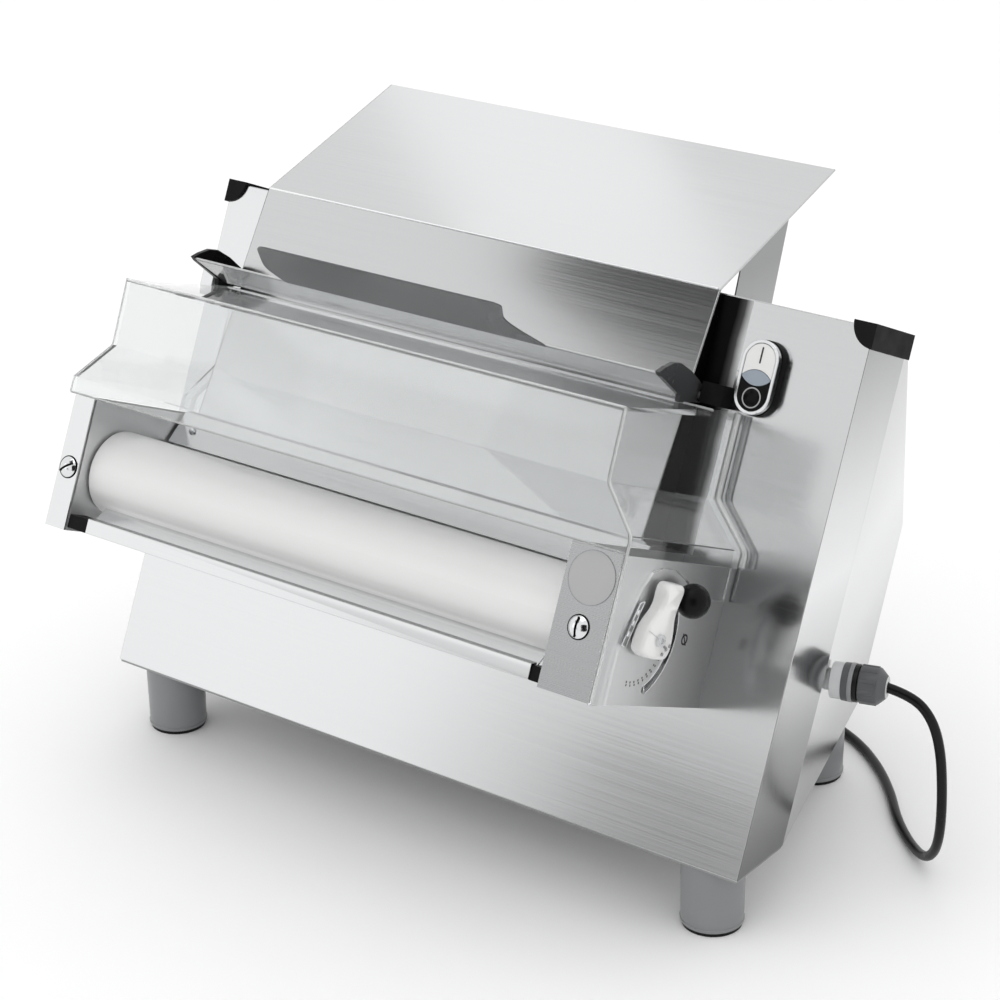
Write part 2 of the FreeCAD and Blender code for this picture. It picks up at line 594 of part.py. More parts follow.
def guard_shell():
    outer = hood(0, GUARD_REAR_D, 212.6)
    inner = hood(GUARD_WALL, -20.0, 200.0)
    shell = outer.cut(inner)
    shell = shell.cut(block(GUARD_LEFT + GUARD_WALL, GUARD_RIGHT - GUARD_WALL, 300, 330, -10, 28.0))
    outline = [(213.0, 151.0), (FRAME_BOTTOM_S, 151.0), (FRAME_BOTTOM_S, 132.0), (150.0, 132.0),
               (168.0, 129.0), (190.0, 121.0), (203.0, 111.0), (206.5, 100.0), (206.5, 80.0),
               (200.0, 63.0), (190.0, 47.0), (188.0, 43.0), (188.0, GUARD_REAR_D), (213.0, GUARD_REAR_D)]
    skirt_right = prism_x(outline, SKIRT_RIGHT - GUARD_WALL, SKIRT_RIGHT)
    lips = []
    for side, upper, lower in ((1, GUARD_RIGHT, SKIRT_RIGHT), (-1, GUARD_LEFT, SKIRT_LEFT)):
        edge = [(upper, 320.5), (upper, 256.0), (lower, 225.0), (lower, 214.0)]
        rim = [(x + 9.0 * side, s) for x, s in edge]
        points = [Vector(x, s, GUARD_REAR_D) for x, s in edge + rim[::-1]]
        lips.append(prism_along(points, Vector(0, 0, GUARD_WALL)))
    return fuse_all([shell, skirt_right] + lips)


RIM_FOOT = (322.5, 27.5)
RIM = (335.0, 68.0)
FLAP_TOP = (356.0, 125.0)


def build_guard():
    add("guard", on_panel(guard_shell()))
    wall = sheet_strip([RIM_FOOT, RIM], 1.2, CHUTE_LEFT - 3, CHUTE_RIGHT + 2)
    along = Vector(0, FLAP_TOP[0] - RIM[0], FLAP_TOP[1] - RIM[1]).normalize()
    outline = [(-167.0, -2.0), (-175.0, 20.0), (-156.0, 61.0), (68.0, 61.0), (73.0, 58.0), (61.0, 33.0),
               (67.0, 19.0), (82.0, -2.0)]
    corners = [Vector(x, RIM[0], RIM[1]) + along * t for x, t in outline]
    flap = prism_along(corners, Vector(0, -along.z, along.y) * 1.2)
    add("feed_funnel", on_panel(wall.fuse(flap).removeSplitter()))
    profile = [(HINGE_S - 5.48, HINGE_D + 3.0), (HINGE_S - 5.48, HINGE_D - 3.0), (HINGE_S - 3.0, HINGE_D - 6.0),
               (HINGE_S + 4.0, HINGE_D - 6.2),
               (336.0, 12.0), (342.0, 28.0), (345.5, 44.0), (344.5, 54.0), (340.0, 64.0), (335.6, 71.0),
               (333.0, 66.5), (323.0, 36.0), (317.95, 35.0), (318.55, 28.5)]
    cheeks = []
    for x0 in (CHUTE_LEFT - 7.0, CHUTE_RIGHT + 2.0):
        cheek = prism_x(profile, x0, x0 + 4.0).cut(rod(x0 - 1, x0 + 5, HINGE_S, HINGE_D, 3.05))
        cheeks.append(on_panel(cheek))
    add("funnel_cheeks", group(cheeks))
    blocks = []
    pins = []
    for b0, b1, p0, p1 in ((185.0, 203.5, CHUTE_RIGHT + 2.0, 200.0), (-297.0, -285.0, -291.0, CHUTE_LEFT - 3.0)):
        body = block(b0, b1, HINGE_S - 4.6, HINGE_S + 11, 0.05, 16.0)
        if b0 < 0:
            body = block(b0, b1, HINGE_S - 16, HINGE_S + 6, 0.05, 14.0)
        blocks.append(on_panel(body.cut(rod(min(p0, p1), max(p0, p1), HINGE_S, HINGE_D, 3.0))))
        pins.append(on_panel(rod(min(p0, p1), max(p0, p1), HINGE_S, HINGE_D, 3.0)))
    add("hinge_blocks", group(blocks))
    add("hinge_pins", group(pins))


# --- start and stop switch ---
def build_switch():
    outer = stadium(BUTTON_X, BUTTON_S, BEZEL_WIDTH, BEZEL_HEIGHT, GASKET_D + 0.02, BEZEL_D)
    inner = stadium(BUTTON_X, BUTTON_S, BEZEL_WIDTH - 5.0, BEZEL_HEIGHT - 5.0, 0, BEZEL_D + 1)
    add("switch_bezel", on_panel(outer.cut(inner)))
    gasket = stadium(BUTTON_X, BUTTON_S, BEZEL_WIDTH + 1.0, BEZEL_HEIGHT + 1.0, 0.05, GASKET_D)
    neck = Part.makeCylinder(10.5, 30, Vector(BUTTON_X, BUTTON_S, -15))
    stem_gap = 17.0
    for side in (-1, 1):
        gasket = gasket.cut(Part.makeCylinder(3.2, 10, Vector(BUTTON_X, BUTTON_S + stem_gap * side, -2)))
    add("switch_gasket", on_panel(gasket.cut(neck)))

    def lens(radius):
        upper = Part.makeCylinder(radius, 20, Vector(BUTTON_X, BUTTON_S + 9.5, -5))
        return upper.common(Part.makeCylinder(radius, 20, Vector(BUTTON_X, BUTTON_S - 10.5, -5)))

    well = stadium(BUTTON_X, BUTTON_S, BEZEL_WIDTH - 5.6, BEZEL_HEIGHT - 5.6, GASKET_D + 3.4, BEZEL_D - 0.4)
    well = well.cut(lens(16.0))
    for name, side in (("start_button", 1), ("stop_button", -1)):
        half = well.common(block(150, 290, BUTTON_S - 60 + 60.35 * (side > 0), BUTTON_S + 60.35 * (side > 0) - 0.35,
                                 -5, 30))
        stem = Part.makeCylinder(2.0, 6.0, Vector(BUTTON_X, BUTTON_S + stem_gap * side, GASKET_D - 1.4))
        add(name, on_panel(half.fuse(stem).removeSplitter()))
    rim = stadium(BUTTON_X, BUTTON_S, BEZEL_WIDTH - 6.2, BEZEL_HEIGHT, GASKET_D, BEZEL_D - 0.2)
    add("pilot_lens", on_panel(lens(15.6).common(rim)))
    body = Part.makeCylinder(10.4, 40, Vector(BUTTON_X, BUTTON_S, -36))
    rear = block(BUTTON_X - 15, BUTTON_X + 15, BUTTON_S - 20, BUTTON_S + 20, -52, -6)
    add("switch_body", on_panel(body.fuse(rear).removeSplitter()))


# --- drive ---
def build_drive():
    s, d = ROLLER_S, PINION_D
    shaft = rod(120.0, 216.0, s, d, 9.0)
    pinion = gear(GEAR_X0, GEAR_X1, s, d, 8.9)
    add("pinion_shaft", on_panel(shaft.fuse(pinion).removeSplitter()))
    box = block(118, 188, s - 42, s + 84, d - 62, d + 28)
    add("gearbox", on_panel(box.cut(rod(110, 200, s, d, 9.05))))
    centre = point(0, s + 35.0, d - 42.0)
    motor_y, motor_z = centre.y, centre.z
    body = Part.makeCylinder(55, 170, Vector(-52.2, motor_y, motor_z), X_AXIS)
    fins = []
    for i in range(24):
        fin = Part.makeBox(140, 7, 2.2, Vector(-40, 54, -1.1))
        fin.rotate(Vector(0, 0, 0), X_AXIS, 15 * i)
        fin.translate(Vector(0, motor_y, motor_z))
        fins.append(fin)
    cowl = Part.makeCylinder(57, 34, Vector(-86.4, motor_y, motor_z), X_AXIS)
    cowl = cowl.cut(Part.makeCylinder(54.5, 32, Vector(-84.4, motor_y, motor_z), X_AXIS))
    for i in range(6):
        cowl = cowl.cut(Part.makeBox(8, 60, 4, Vector(-90, motor_y - 30, motor_z - 32 + 12 * i)))
    add("motor", group([fuse_all([body] + fins), cowl]))
    foot = Part.makeBox(150, 120, 3, Vector(-30, motor_y - 60, BASE_HEIGHT + 0.05))
    posts = [Part.makeBox(6, 90, motor_z - BASE_HEIGHT - 40, Vector(x, motor_y - 45, BASE_HEIGHT + 3))
             for x in (-20, 94)]
    cradle = Part.makeCylinder(61.2, 180, Vector(-60, motor_y, motor_z), X_AXIS)
    add("motor_bracket", fuse_all([foot] + posts).cut(cradle))


def build_electrics():
    x0, y0, z0 = -225.0, 120.0, BASE_HEIGHT + 0.1
    outer = Part.makeBox(110, 90, 60, Vector(x0, y0, z0))
    outer = outer.cut(Part.makeBox(105, 85, 60, Vector(x0 + 2.5, y0 + 2.5, z0 + 2.5)))
    add("control_box", group([outer, Part.makeBox(110, 90, 3, Vector(x0, y0, z0 + 60.1))]))
    board = Part.makeBox(95, 75, 1.6, Vector(x0 + 7, y0 + 7, z0 + 8))
    relay = Part.makeBox(40, 28, 34, Vector(x0 + 14, y0 + 20, z0 + 9.6))
    terminals = Part.makeBox(12, 60, 14, Vector(x0 + 80, y0 + 14, z0 + 9.6))
    add("control_board", fuse_all([board, relay, terminals]))
    add("run_capacitor", Part.makeCylinder(18, 80, Vector(-205, 232, BASE_HEIGHT + 18.2), X_AXIS))


# --- cord ---
GLAND_TURN_DEG = 16.7
GLAND_AXIS = Vector(math.cos(math.radians(GLAND_TURN_DEG)), math.sin(math.radians(GLAND_TURN_DEG)), 0)
GLAND_SEAT = Vector(293.7, 128.7, 163.6)


def gland_cylinder(start, end, radius):
    return Part.makeCylinder(radius, end - start, GLAND_SEAT + GLAND_AXIS * start, GLAND_AXIS)


def gland_bore():
    return gland_cylinder(-25, 25, 8.1)


CORD_EXIT = GLAND_SEAT + GLAND_AXIS * 44.0
CORD_R = CORD_DIAMETER / 2
CORD_ROUTE = [(CORD_EXIT.x, CORD_EXIT.y, CORD_EXIT.z), (356.4, 147.5, 160.0), (373.7, 152.7, 144.6),
              (382.3, 155.3, 121.1), (384.2, 155.9, 87.6), (382.0, 158.5, 53.0), (371.5, 167.5, 25.5),
              (354.0, 181.5, 8.0), (328.0, 202.0, CORD_R), (302.5, 228.5, CORD_R), (278.0, 262.0, CORD_R),
              (250.0, 292.0, CORD_R), (217.0, 318.0, CORD_R), (180.0, 334.5, CORD_R), (142.0, 341.0, CORD_R),
              (104.0, 340.5, CORD_R)]


def cord_tube(route, radius):
    """Straight runs joined by tangent arcs, swept into one tube. Prints each bend's radius."""
    points = [Vector(*p) for p in route]
    edges = []
    start = points[0]
    radii = []
    for before, corner, after in zip(points, points[1:], points[2:]):
        back = (before - corner)
        ahead = (after - corner)
        short = min(back.Length, ahead.Length)
        back.normalize()
        ahead.normalize()
        turn = math.pi - back.getAngle(ahead)
        bend = 0.45 * short / math.tan(turn / 2)
        radii.append(round(bend, 1))
        reach = 0.45 * short
        arc_start = corner + back * reach
        arc_end = corner + ahead * reach
        inward = (back + ahead).normalize()
        centre_gap = bend / math.cos(turn / 2)
        middle = corner + inward * (centre_gap - bend)
        edges.append(Part.LineSegment(start, arc_start).toShape())
        edges.append(Part.Arc(arc_start, middle, arc_end).toShape())
        start = arc_end
    edges.append(Part.LineSegment(start, points[-1]).toShape())
    wire = Part.Wire(edges)
    profile = Part.Wire([Part.Circle(points[0], points[1] - points[0], radius).toShape()])
    solid = wire.makePipeShell([profile], True, True)
    print("cord bend radii", radii)
    print("cord tube length", round(wire.Length, 1), "volume ratio",
          round(solid.Volume / (wire.Length * math.pi * radius * radius), 4))
    return solid, wire.Length


def build_cord():
    body = gland_cylinder(-14, 2.5, 8.0)
    body = fuse_all([body, gland_cylinder(1.0, 3.5, 6.0), gland_cylinder(3.5, 20.0, 13.5)])
    body = body.cut(gland_cylinder(-20, 60, CORD_R + 0.4))
    add("gland_body", body)
    seal = gland_cylinder(20.05, 24.0, 12.4).cut(gland_cylinder(10, 60, CORD_R + 0.05))
    add("gland_seal", seal)
    dome = gland_cylinder(24.05, 38.0, 13.8)
    cone = Part.makeCone(13.8, 8.2, 6.0, GLAND_SEAT + GLAND_AXIS * 38.0, GLAND_AXIS)
    add("gland_nut", dome.fuse(cone).removeSplitter().cut(gland_cylinder(10, 60, CORD_R + 0.05)))

    solid, length = cord_tube(CORD_ROUTE, CORD_R)
    add("mains_cord", solid)
    end = Vector(*CORD_ROUTE[-1])
    coiled = CORD_LENGTH - length
    turns = coiled / (2 * math.pi * COIL_TURN_RADIUS)
    print("coiled length", round(coiled, 1), "turns", round(turns, 2), "cord ends", end)
    cx, cy = COIL_CENTRE
    inner = COIL_TURN_RADIUS - 1.5 * CORD_DIAMETER
    outer = COIL_TURN_RADIUS + 1.5 * CORD_DIAMETER
    ring = Part.makeCylinder(outer, 2 * CORD_DIAMETER, Vector(cx, cy, 0))
    ring = ring.cut(Part.makeCylinder(inner, 40, Vector(cx, cy, -5)))
    add("cord_coil", ring)
    build_plug(cx, cy)


def build_plug(cx, cy):
    """Two-pin mains plug lying on its side beside the coil."""
    px, py = cx - 52.0, cy - COIL_TURN_RADIUS
    body = Part.makeCylinder(18.0, 26, Vector(px, py, 18.2), Vector(-1, 0, 0))
    neck = Part.makeCone(12.0, 6.0, 24, Vector(px, py, 18.2), X_AXIS)
    shape = body.fuse(neck)
    for dy in (-9.5, 9.5):
        shape = shape.fuse(Part.makeCylinder(2.4, 19, Vector(px - 26, py + dy, 18.2), Vector(-1, 0, 0)))
    shape = shape.cut(Part.makeBox(30, 12, 4, Vector(px - 27, py - 6, 34)))
    add("mains_plug", shape.removeSplitter())


def main():
    build_casing()
    build_chute()
    build_frame()
    build_scrapers()
    build_rollers()
    build_lever()
    build_guard()
    build_switch()
    build_drive()
    build_electrics()
    build_cord()

    cord_parts = {"gland_body", "gland_seal", "gland_nut", "mains_cord", "cord_coil", "mains_plug"}
    own = Part.makeCompound([shape for name, shape in nodes.items() if name not in cord_parts])
    bounds = own.BoundBox
    shift = Vector(-(bounds.XMin + bounds.XMax) / 2, -(bounds.YMin + bounds.YMax) / 2, 0)
    print("bounds", bounds, "shift", shift)
    os.makedirs("parts", exist_ok=True)
    for name, shape in nodes.items():
        placed = shape.copy()
        placed.translate(shift)
        placed.exportStep("parts/" + name + ".step")
        flags = [solid.isValid() and solid.isClosed() for solid in placed.Solids]
        if not flags or not all(flags):
            print("CHECK", name, len(placed.Solids), flags)
    print(len(nodes), "nodes")


main()
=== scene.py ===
import math

import bmesh
import bpy
from mathutils import Matrix, Vector


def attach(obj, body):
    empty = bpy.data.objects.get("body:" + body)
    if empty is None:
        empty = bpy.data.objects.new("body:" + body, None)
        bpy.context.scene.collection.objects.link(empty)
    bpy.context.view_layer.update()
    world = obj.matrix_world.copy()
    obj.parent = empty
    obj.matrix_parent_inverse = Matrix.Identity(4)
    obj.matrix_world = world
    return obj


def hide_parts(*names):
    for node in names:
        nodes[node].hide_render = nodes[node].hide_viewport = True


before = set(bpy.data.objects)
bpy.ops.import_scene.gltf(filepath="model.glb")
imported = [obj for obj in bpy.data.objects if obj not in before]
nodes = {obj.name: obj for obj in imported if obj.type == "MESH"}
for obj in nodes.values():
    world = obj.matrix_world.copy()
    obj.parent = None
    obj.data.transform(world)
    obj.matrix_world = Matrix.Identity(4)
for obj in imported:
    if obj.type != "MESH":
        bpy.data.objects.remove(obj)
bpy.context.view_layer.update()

# Panel coordinates (x, s, d) in millimetres: s runs up the leaning front panel and d is in front of it.
# The rollers and the lever lie at height ROLLER_S; the roller frame reaches FRAME_RIGHT and FRAME_D.
LEAN = math.radians(24.18)
SIN, COS = math.sin(LEAN), math.cos(LEAN)
BASE_Z = 58.4
SHIFT_Y = -126.94758
ROLLER_S = 159.0
LEVER_D = 103.0
FRAME_RIGHT = 236.0
FRAME_D = 147.0
PANEL_UP = Vector((0, SIN, COS))
PANEL_OUT = Vector((0, -COS, SIN))


def at(x, s, d):
    """Row-frame position in metres of a point in panel coordinates."""
    return Vector((x, s * SIN - d * COS + SHIFT_Y, BASE_Z + s * COS + d * SIN)) / 1000


def world_mm(x, y, z):
    """Row-frame position in metres of a point in the millimetres of the CAD drawing."""
    return Vector((x, y + SHIFT_Y, z)) / 1000


# --- camera ---
CAMERA_AT = (1.18024, -1.55741, 1.07901)
CAMERA_LENS = 99.125
CAMERA_SHIFT = -0.05
CAMERA_RIGHT = Vector((0.80938117, 0.58727123, -0.00382405))
CAMERA_DOWN = Vector((0.22108822, -0.31072475, -0.92442963))
CAMERA_AHEAD = Vector((-0.54407915, 0.74737048, -0.38133351))


def build_camera():
    data = bpy.data.cameras.new("camera")
    data.sensor_width = 36.0
    data.lens = CAMERA_LENS
    data.shift_x = CAMERA_SHIFT
    data.shift_y = CAMERA_SHIFT
    camera = bpy.data.objects.new("camera", data)
    bpy.context.collection.objects.link(camera)
    turn = Matrix((CAMERA_RIGHT, -CAMERA_DOWN, -CAMERA_AHEAD)).transposed()
    camera.matrix_world = Matrix.Translation(CAMERA_AT) @ turn.to_4x4()
    bpy.context.scene.camera = camera


build_camera()


class Mat:
    """A node material round one Principled shader, with small helpers for its texture nodes."""

    def __init__(self, name):
        self.material = bpy.data.materials.new(name)
        self.material.use_nodes = True
        self.tree = self.material.node_tree
        self.tree.nodes.clear()
        self.out = self.node("ShaderNodeOutputMaterial")
        self.shader = self.node("ShaderNodeBsdfPrincipled")
        self.tree.links.new(self.shader.outputs[0], self.out.inputs[0])
        self.coords = self.node("ShaderNodeTexCoord").outputs["Object"]

    def node(self, kind, **values):
        made = self.tree.nodes.new(kind)
        for key, value in values.items():
            setattr(made, key, value)
        return made

    def link(self, a, b):
        self.tree.links.new(a, b)

    def set(self, **values):
        for key, value in values.items():
            self.shader.inputs[key.replace("_", " ")].default_value = value

    def mapped(self, scale):
        mapping = self.node("ShaderNodeMapping")
        mapping.inputs["Scale"].default_value = scale
        self.link(self.coords, mapping.inputs["Vector"])
        return mapping.outputs[0]

    def noise(self, scale, stretch=(1, 1, 1), detail=3.0, rough=0.5):
        made = self.node("ShaderNodeTexNoise")
        made.inputs["Scale"].default_value = scale
        made.inputs["Detail"].default_value = detail
        made.inputs["Roughness"].default_value = rough
        self.link(self.mapped(stretch), made.inputs["Vector"])
        return made.outputs["Fac"]

    def span(self, value, low, high, start=0.3, end=0.7):
        made = self.node("ShaderNodeMapRange")
        made.inputs["From Min"].default_value = start
        made.inputs["From Max"].default_value = end
        made.inputs["To Min"].default_value = low
        made.inputs["To Max"].default_value = high
        self.link(value, made.inputs["Value"])
        return made.outputs[0]

    def colours(self, value, stops):
        ramp = self.node("ShaderNodeValToRGB")
        ramp.color_ramp.elements[0].position = stops[0][0]
        ramp.color_ramp.elements[0].color = (*stops[0][1], 1)
        ramp.color_ramp.elements[1].position = stops[-1][0]
        ramp.color_ramp.elements[1].color = (*stops[-1][1], 1)
        for position, colour in stops[1:-1]:
            ramp.color_ramp.elements.new(position).color = (*colour, 1)
        self.link(value, ramp.inputs[0])
        return ramp.outputs[0]

    def toned(self, colour, painted_tones):
        """The colour multiplied by a share that follows the height above the floor: a painted reflection."""
        split = self.node("ShaderNodeSeparateXYZ")
        self.link(self.coords, split.inputs[0])
        top = painted_tones[-1][0]
        share = self.span(split.outputs["Z"], 0.0, 1.0, 0.0, top)
        ramp = self.colours(share, [(height / top, (tone, tone, tone)) for height, tone in painted_tones])
        mix = self.node("ShaderNodeVectorMath", operation="MULTIPLY")
        self.link(colour, mix.inputs[0])
        self.link(ramp, mix.inputs[1])
        return mix.outputs[0]

    def base(self, socket):
        self.link(socket, self.shader.inputs["Base Color"])

    def rough(self, socket):
        self.link(socket, self.shader.inputs["Roughness"])

    def bump(self, height, strength, distance):
        made = self.node("ShaderNodeBump")
        made.inputs["Strength"].default_value = strength
        made.inputs["Distance"].default_value = distance
        self.link(height, made.inputs["Height"])
        self.link(made.outputs[0], self.shader.inputs["Normal"])


BRUSH_DEPTH = 0.00008
SPECK_DEPTH = 0.0001


def brushed(name, grain, colour=(0.60, 0.605, 0.61), rough=(0.13, 0.19), bump=0.03,
            contrast=0.02, painted_tones=None):
    """Brushed stainless steel; grain is the stretch of the brush marks along each axis.

    The last argument holds (height in metres, share of the colour) stops: a painted reflection that makes the
    sheet lighter or darker with height.
    """
    m = Mat(name)
    m.set(Metallic=1.0, Anisotropic=0.3)
    fine = m.noise(1.0, grain, 4.0, 0.65)
    broad = m.noise(3.5, (1, 1, 1), 2.0, 0.5)
    low = tuple(c * (1 - contrast) for c in colour)
    high = tuple(min(1.0, c * (1 + contrast)) for c in colour)
    steel = m.colours(fine, [(0.25, low), (0.75, high)])
    if painted_tones:
        steel = m.toned(steel, painted_tones)
    m.base(steel)
    add = m.node("ShaderNodeMath", operation="ADD")
    m.link(m.span(fine, rough[0], rough[1]), add.inputs[0])
    m.link(m.span(broad, -0.01, 0.02), add.inputs[1])
    m.rough(add.outputs[0])
    m.bump(fine, bump, BRUSH_DEPTH)
    return m.material


def plastic(name, low, high, rough=(0.35, 0.5), grain=900.0, bump=0.1, coat=0.0, scatter=0.0, sheen=0.5):
    """Moulded plastic with a faint texture; sheen is how strongly it mirrors its surroundings."""
    m = Mat(name)
    speck = m.noise(grain, (1, 1, 1), 2.0)
    cloud = m.noise(14.0, (1, 1, 1), 3.0)
    m.base(m.colours(cloud, [(0.3, low), (0.7, high)]))
    m.rough(m.span(m.noise(60.0, (1, 1, 1), 4.0), rough[0], rough[1]))
    m.set(Specular_IOR_Level=sheen)
    if coat:
        m.set(Coat_Weight=coat, Coat_Roughness=0.08)
    if scatter:
        m.set(Subsurface_Weight=scatter, Subsurface_Radius=(0.004, 0.004, 0.004))
    m.bump(speck, bump, SPECK_DEPTH)
    return m.material


def clear(name, tint=(0.955, 0.965, 0.965), rough=(0.0, 0.012), passes=0.95, ior=1.12, solid=0.05, coat=1.0):
    """Clear plastic sheet that lets lamps through to what it covers; solid is its share of haze."""
    m = Mat(name)
    m.set(Transmission_Weight=1.0 - solid, IOR=ior, Coat_Weight=coat, Coat_Roughness=0.03, Coat_IOR=1.5)
    m.base(m.colours(m.noise(6.0), [(0.3, tint), (0.7, tuple(min(1, c * 1.02) for c in tint))]))
    m.rough(m.span(m.noise(9.0, (1, 1, 1), 1.0), rough[0], rough[1]))
    open_light = m.node("ShaderNodeBsdfTransparent")
    open_light.inputs["Color"].default_value = (passes, passes, passes, 1)
    mix = m.node("ShaderNodeMixShader")
    m.link(m.node("ShaderNodeLightPath").outputs["Is Shadow Ray"], mix.inputs[0])
    m.link(m.shader.outputs[0], mix.inputs[1])
    m.link(open_light.outputs[0], mix.inputs[2])
    m.link(mix.outputs[0], m.out.inputs[0])
    return m.material


# Brush marks along the rollers, up the sides and in no direction.
X_GRAIN = (3.0, 900.0, 900.0)
SIDE_GRAIN = (900.0, 900.0, 4.0)
FINE = (300.0, 300.0, 300.0)
steel_x = brushed("steel_x", X_GRAIN)
# Painted reflection: the sides' colour darkens towards the table and towards the top, as what they mirror
# does: (height, share) stops.
SIDE_PAINTED_REFLECTION = [(0.03, 0.42), (0.10, 0.72), (0.17, 1.12), (0.24, 1.22), (0.31, 0.94), (0.37, 0.7), (0.43, 0.52)]
steel_side = brushed("steel_side", SIDE_GRAIN, painted_tones=SIDE_PAINTED_REFLECTION)
# Painted reflection for the tray's side strip: a lighter steel, darkened towards the table and the top, as
# (height, share) stops.
STRIP_PAINTED_REFLECTION = [(0.05, 0.19), (0.08, 0.28), (0.14, 0.46), (0.19, 0.75), (0.25, 1.0), (0.30, 0.9), (0.36, 0.68),
               (0.41, 0.5)]
steel_strip = brushed("steel_strip", SIDE_GRAIN, (0.8, 0.805, 0.81), painted_tones=STRIP_PAINTED_REFLECTION)
# Painted shade: a darker copy of the right side plate's steel for its flange.
steel_flange_painted_shade = brushed("steel_flange_painted_shade", X_GRAIN, (0.40, 0.405, 0.41), (0.24, 0.3), 0.01)
# Painted highlight for the chute's bend.
bend_painted_highlight = brushed("bend_painted_highlight", X_GRAIN, (0.9, 0.905, 0.91), (0.3, 0.4))
# Lighter, rougher copies of the steel for the left bearing plate's inner side and the right side plate: the
# roughness is the sheets' finish, the lighter colour is painted light.
steel_soft_painted_light = brushed("steel_soft_painted_light", X_GRAIN, (0.74, 0.745, 0.75), (0.34, 0.4))
steel_dull_painted_light = brushed("steel_dull_painted_light", SIDE_GRAIN, (0.74, 0.745, 0.75), (0.38, 0.44))
steel_plain = brushed("steel_plain", (400.0, 400.0, 400.0), (0.5, 0.505, 0.51), (0.28, 0.42), 0.2, 0.06)
bright = brushed("bright", FINE, (0.72, 0.73, 0.74), (0.08, 0.18), 0.06)
catch_steel = brushed("catch_steel", FINE, (0.34, 0.345, 0.35), (0.14, 0.26), 0.3)
roller_white = plastic("roller_white", (0.70, 0.70, 0.695), (0.71, 0.71, 0.705), (0.275, 0.285), 500.0, 0.01,
                       scatter=0.1)
white_gloss = plastic("white_gloss", (0.72, 0.72, 0.71), (0.77, 0.77, 0.76), (0.12, 0.22), 700.0, 0.03,
                      coat=0.4)
black_matte = plastic("black_matte", (0.005, 0.005, 0.0055), (0.009, 0.009, 0.0095), (0.42, 0.6), 1400.0,
                      0.25, sheen=0.08)
black_gloss = plastic("black_gloss", (0.002, 0.002, 0.0022), (0.004, 0.004, 0.0043), (0.24, 0.32), 700.0,
                      0.03, sheen=0.12)
# Painted shade: a near-black for the chute's gap, the screw slots and the shadow rings round the screws.
painted_shade_black = plastic("painted_shade_black", (0.001, 0.001, 0.001), (0.002, 0.002, 0.002), (0.6, 0.8), 900.0, 0.1,
                     sheen=0.05)
grey_flap = plastic("grey_flap", (0.086, 0.088, 0.091), (0.094, 0.096, 0.099), (0.16, 0.2), 900.0, 0.03)
cheek_grey = plastic("cheek_grey", (0.045, 0.046, 0.048), (0.055, 0.056, 0.058), (0.2, 0.3), 900.0, 0.05,
                     sheen=0.3)
foot_grey = plastic("foot_grey", (0.205, 0.21, 0.215), (0.225, 0.23, 0.235), (0.28, 0.36), 700.0, 0.05)
gland_grey = plastic("gland_grey", (0.50, 0.505, 0.51), (0.58, 0.585, 0.59), (0.35, 0.5), 900.0, 0.15)
gland_dark = plastic("gland_dark", (0.06, 0.062, 0.065), (0.08, 0.082, 0.086), (0.35, 0.5), 900.0, 0.15)
rubber = plastic("rubber", (0.002, 0.002, 0.002), (0.004, 0.004, 0.004), (0.26, 0.36), 1200.0, 0.1,
                 sheen=0.22)
lens_grey = plastic("lens_grey", (0.24, 0.28, 0.33), (0.30, 0.345, 0.40), (0.15, 0.25), 500.0, 0.05,
                    coat=0.3)
label_grey = plastic("label_grey", (0.37, 0.37, 0.375), (0.40, 0.40, 0.405), (0.3, 0.4), 600.0, 0.05)
ink = plastic("ink", (0.02, 0.02, 0.02), (0.035, 0.035, 0.035), (0.5, 0.6), 900.0, 0.05, sheen=0.2)
guard_clear = clear("guard_clear", solid=0.07)
guard_side = clear("guard_side", (0.9, 0.905, 0.905), solid=0.015, coat=0.35)
painted_shade_grey = plastic("painted_shade_grey", (0.10, 0.10, 0.10), (0.15, 0.15, 0.15), (0.3, 0.4), 500.0, 0.05)
smoke_clear = clear("smoke_clear", (0.62, 0.63, 0.635), (0.02, 0.06), solid=0.12)
# Clear beads for the guard's edges and the funnel's rim: real rounded edges, with a whitish haze that is
# partly painted highlight.
edge_clear_highlight = clear("edge_clear_highlight", (0.97, 0.98, 0.98), (0.02, 0.06), ior=1.45, solid=0.3)
painted = plastic("painted", (0.20, 0.205, 0.21), (0.26, 0.265, 0.27), (0.35, 0.5), 500.0, 0.2)
board = plastic("board", (0.02, 0.10, 0.04), (0.03, 0.15, 0.06), (0.35, 0.5), 300.0, 0.2)
bronze = brushed("bronze", FINE, (0.6, 0.42, 0.2), (0.3, 0.45), 0.2)

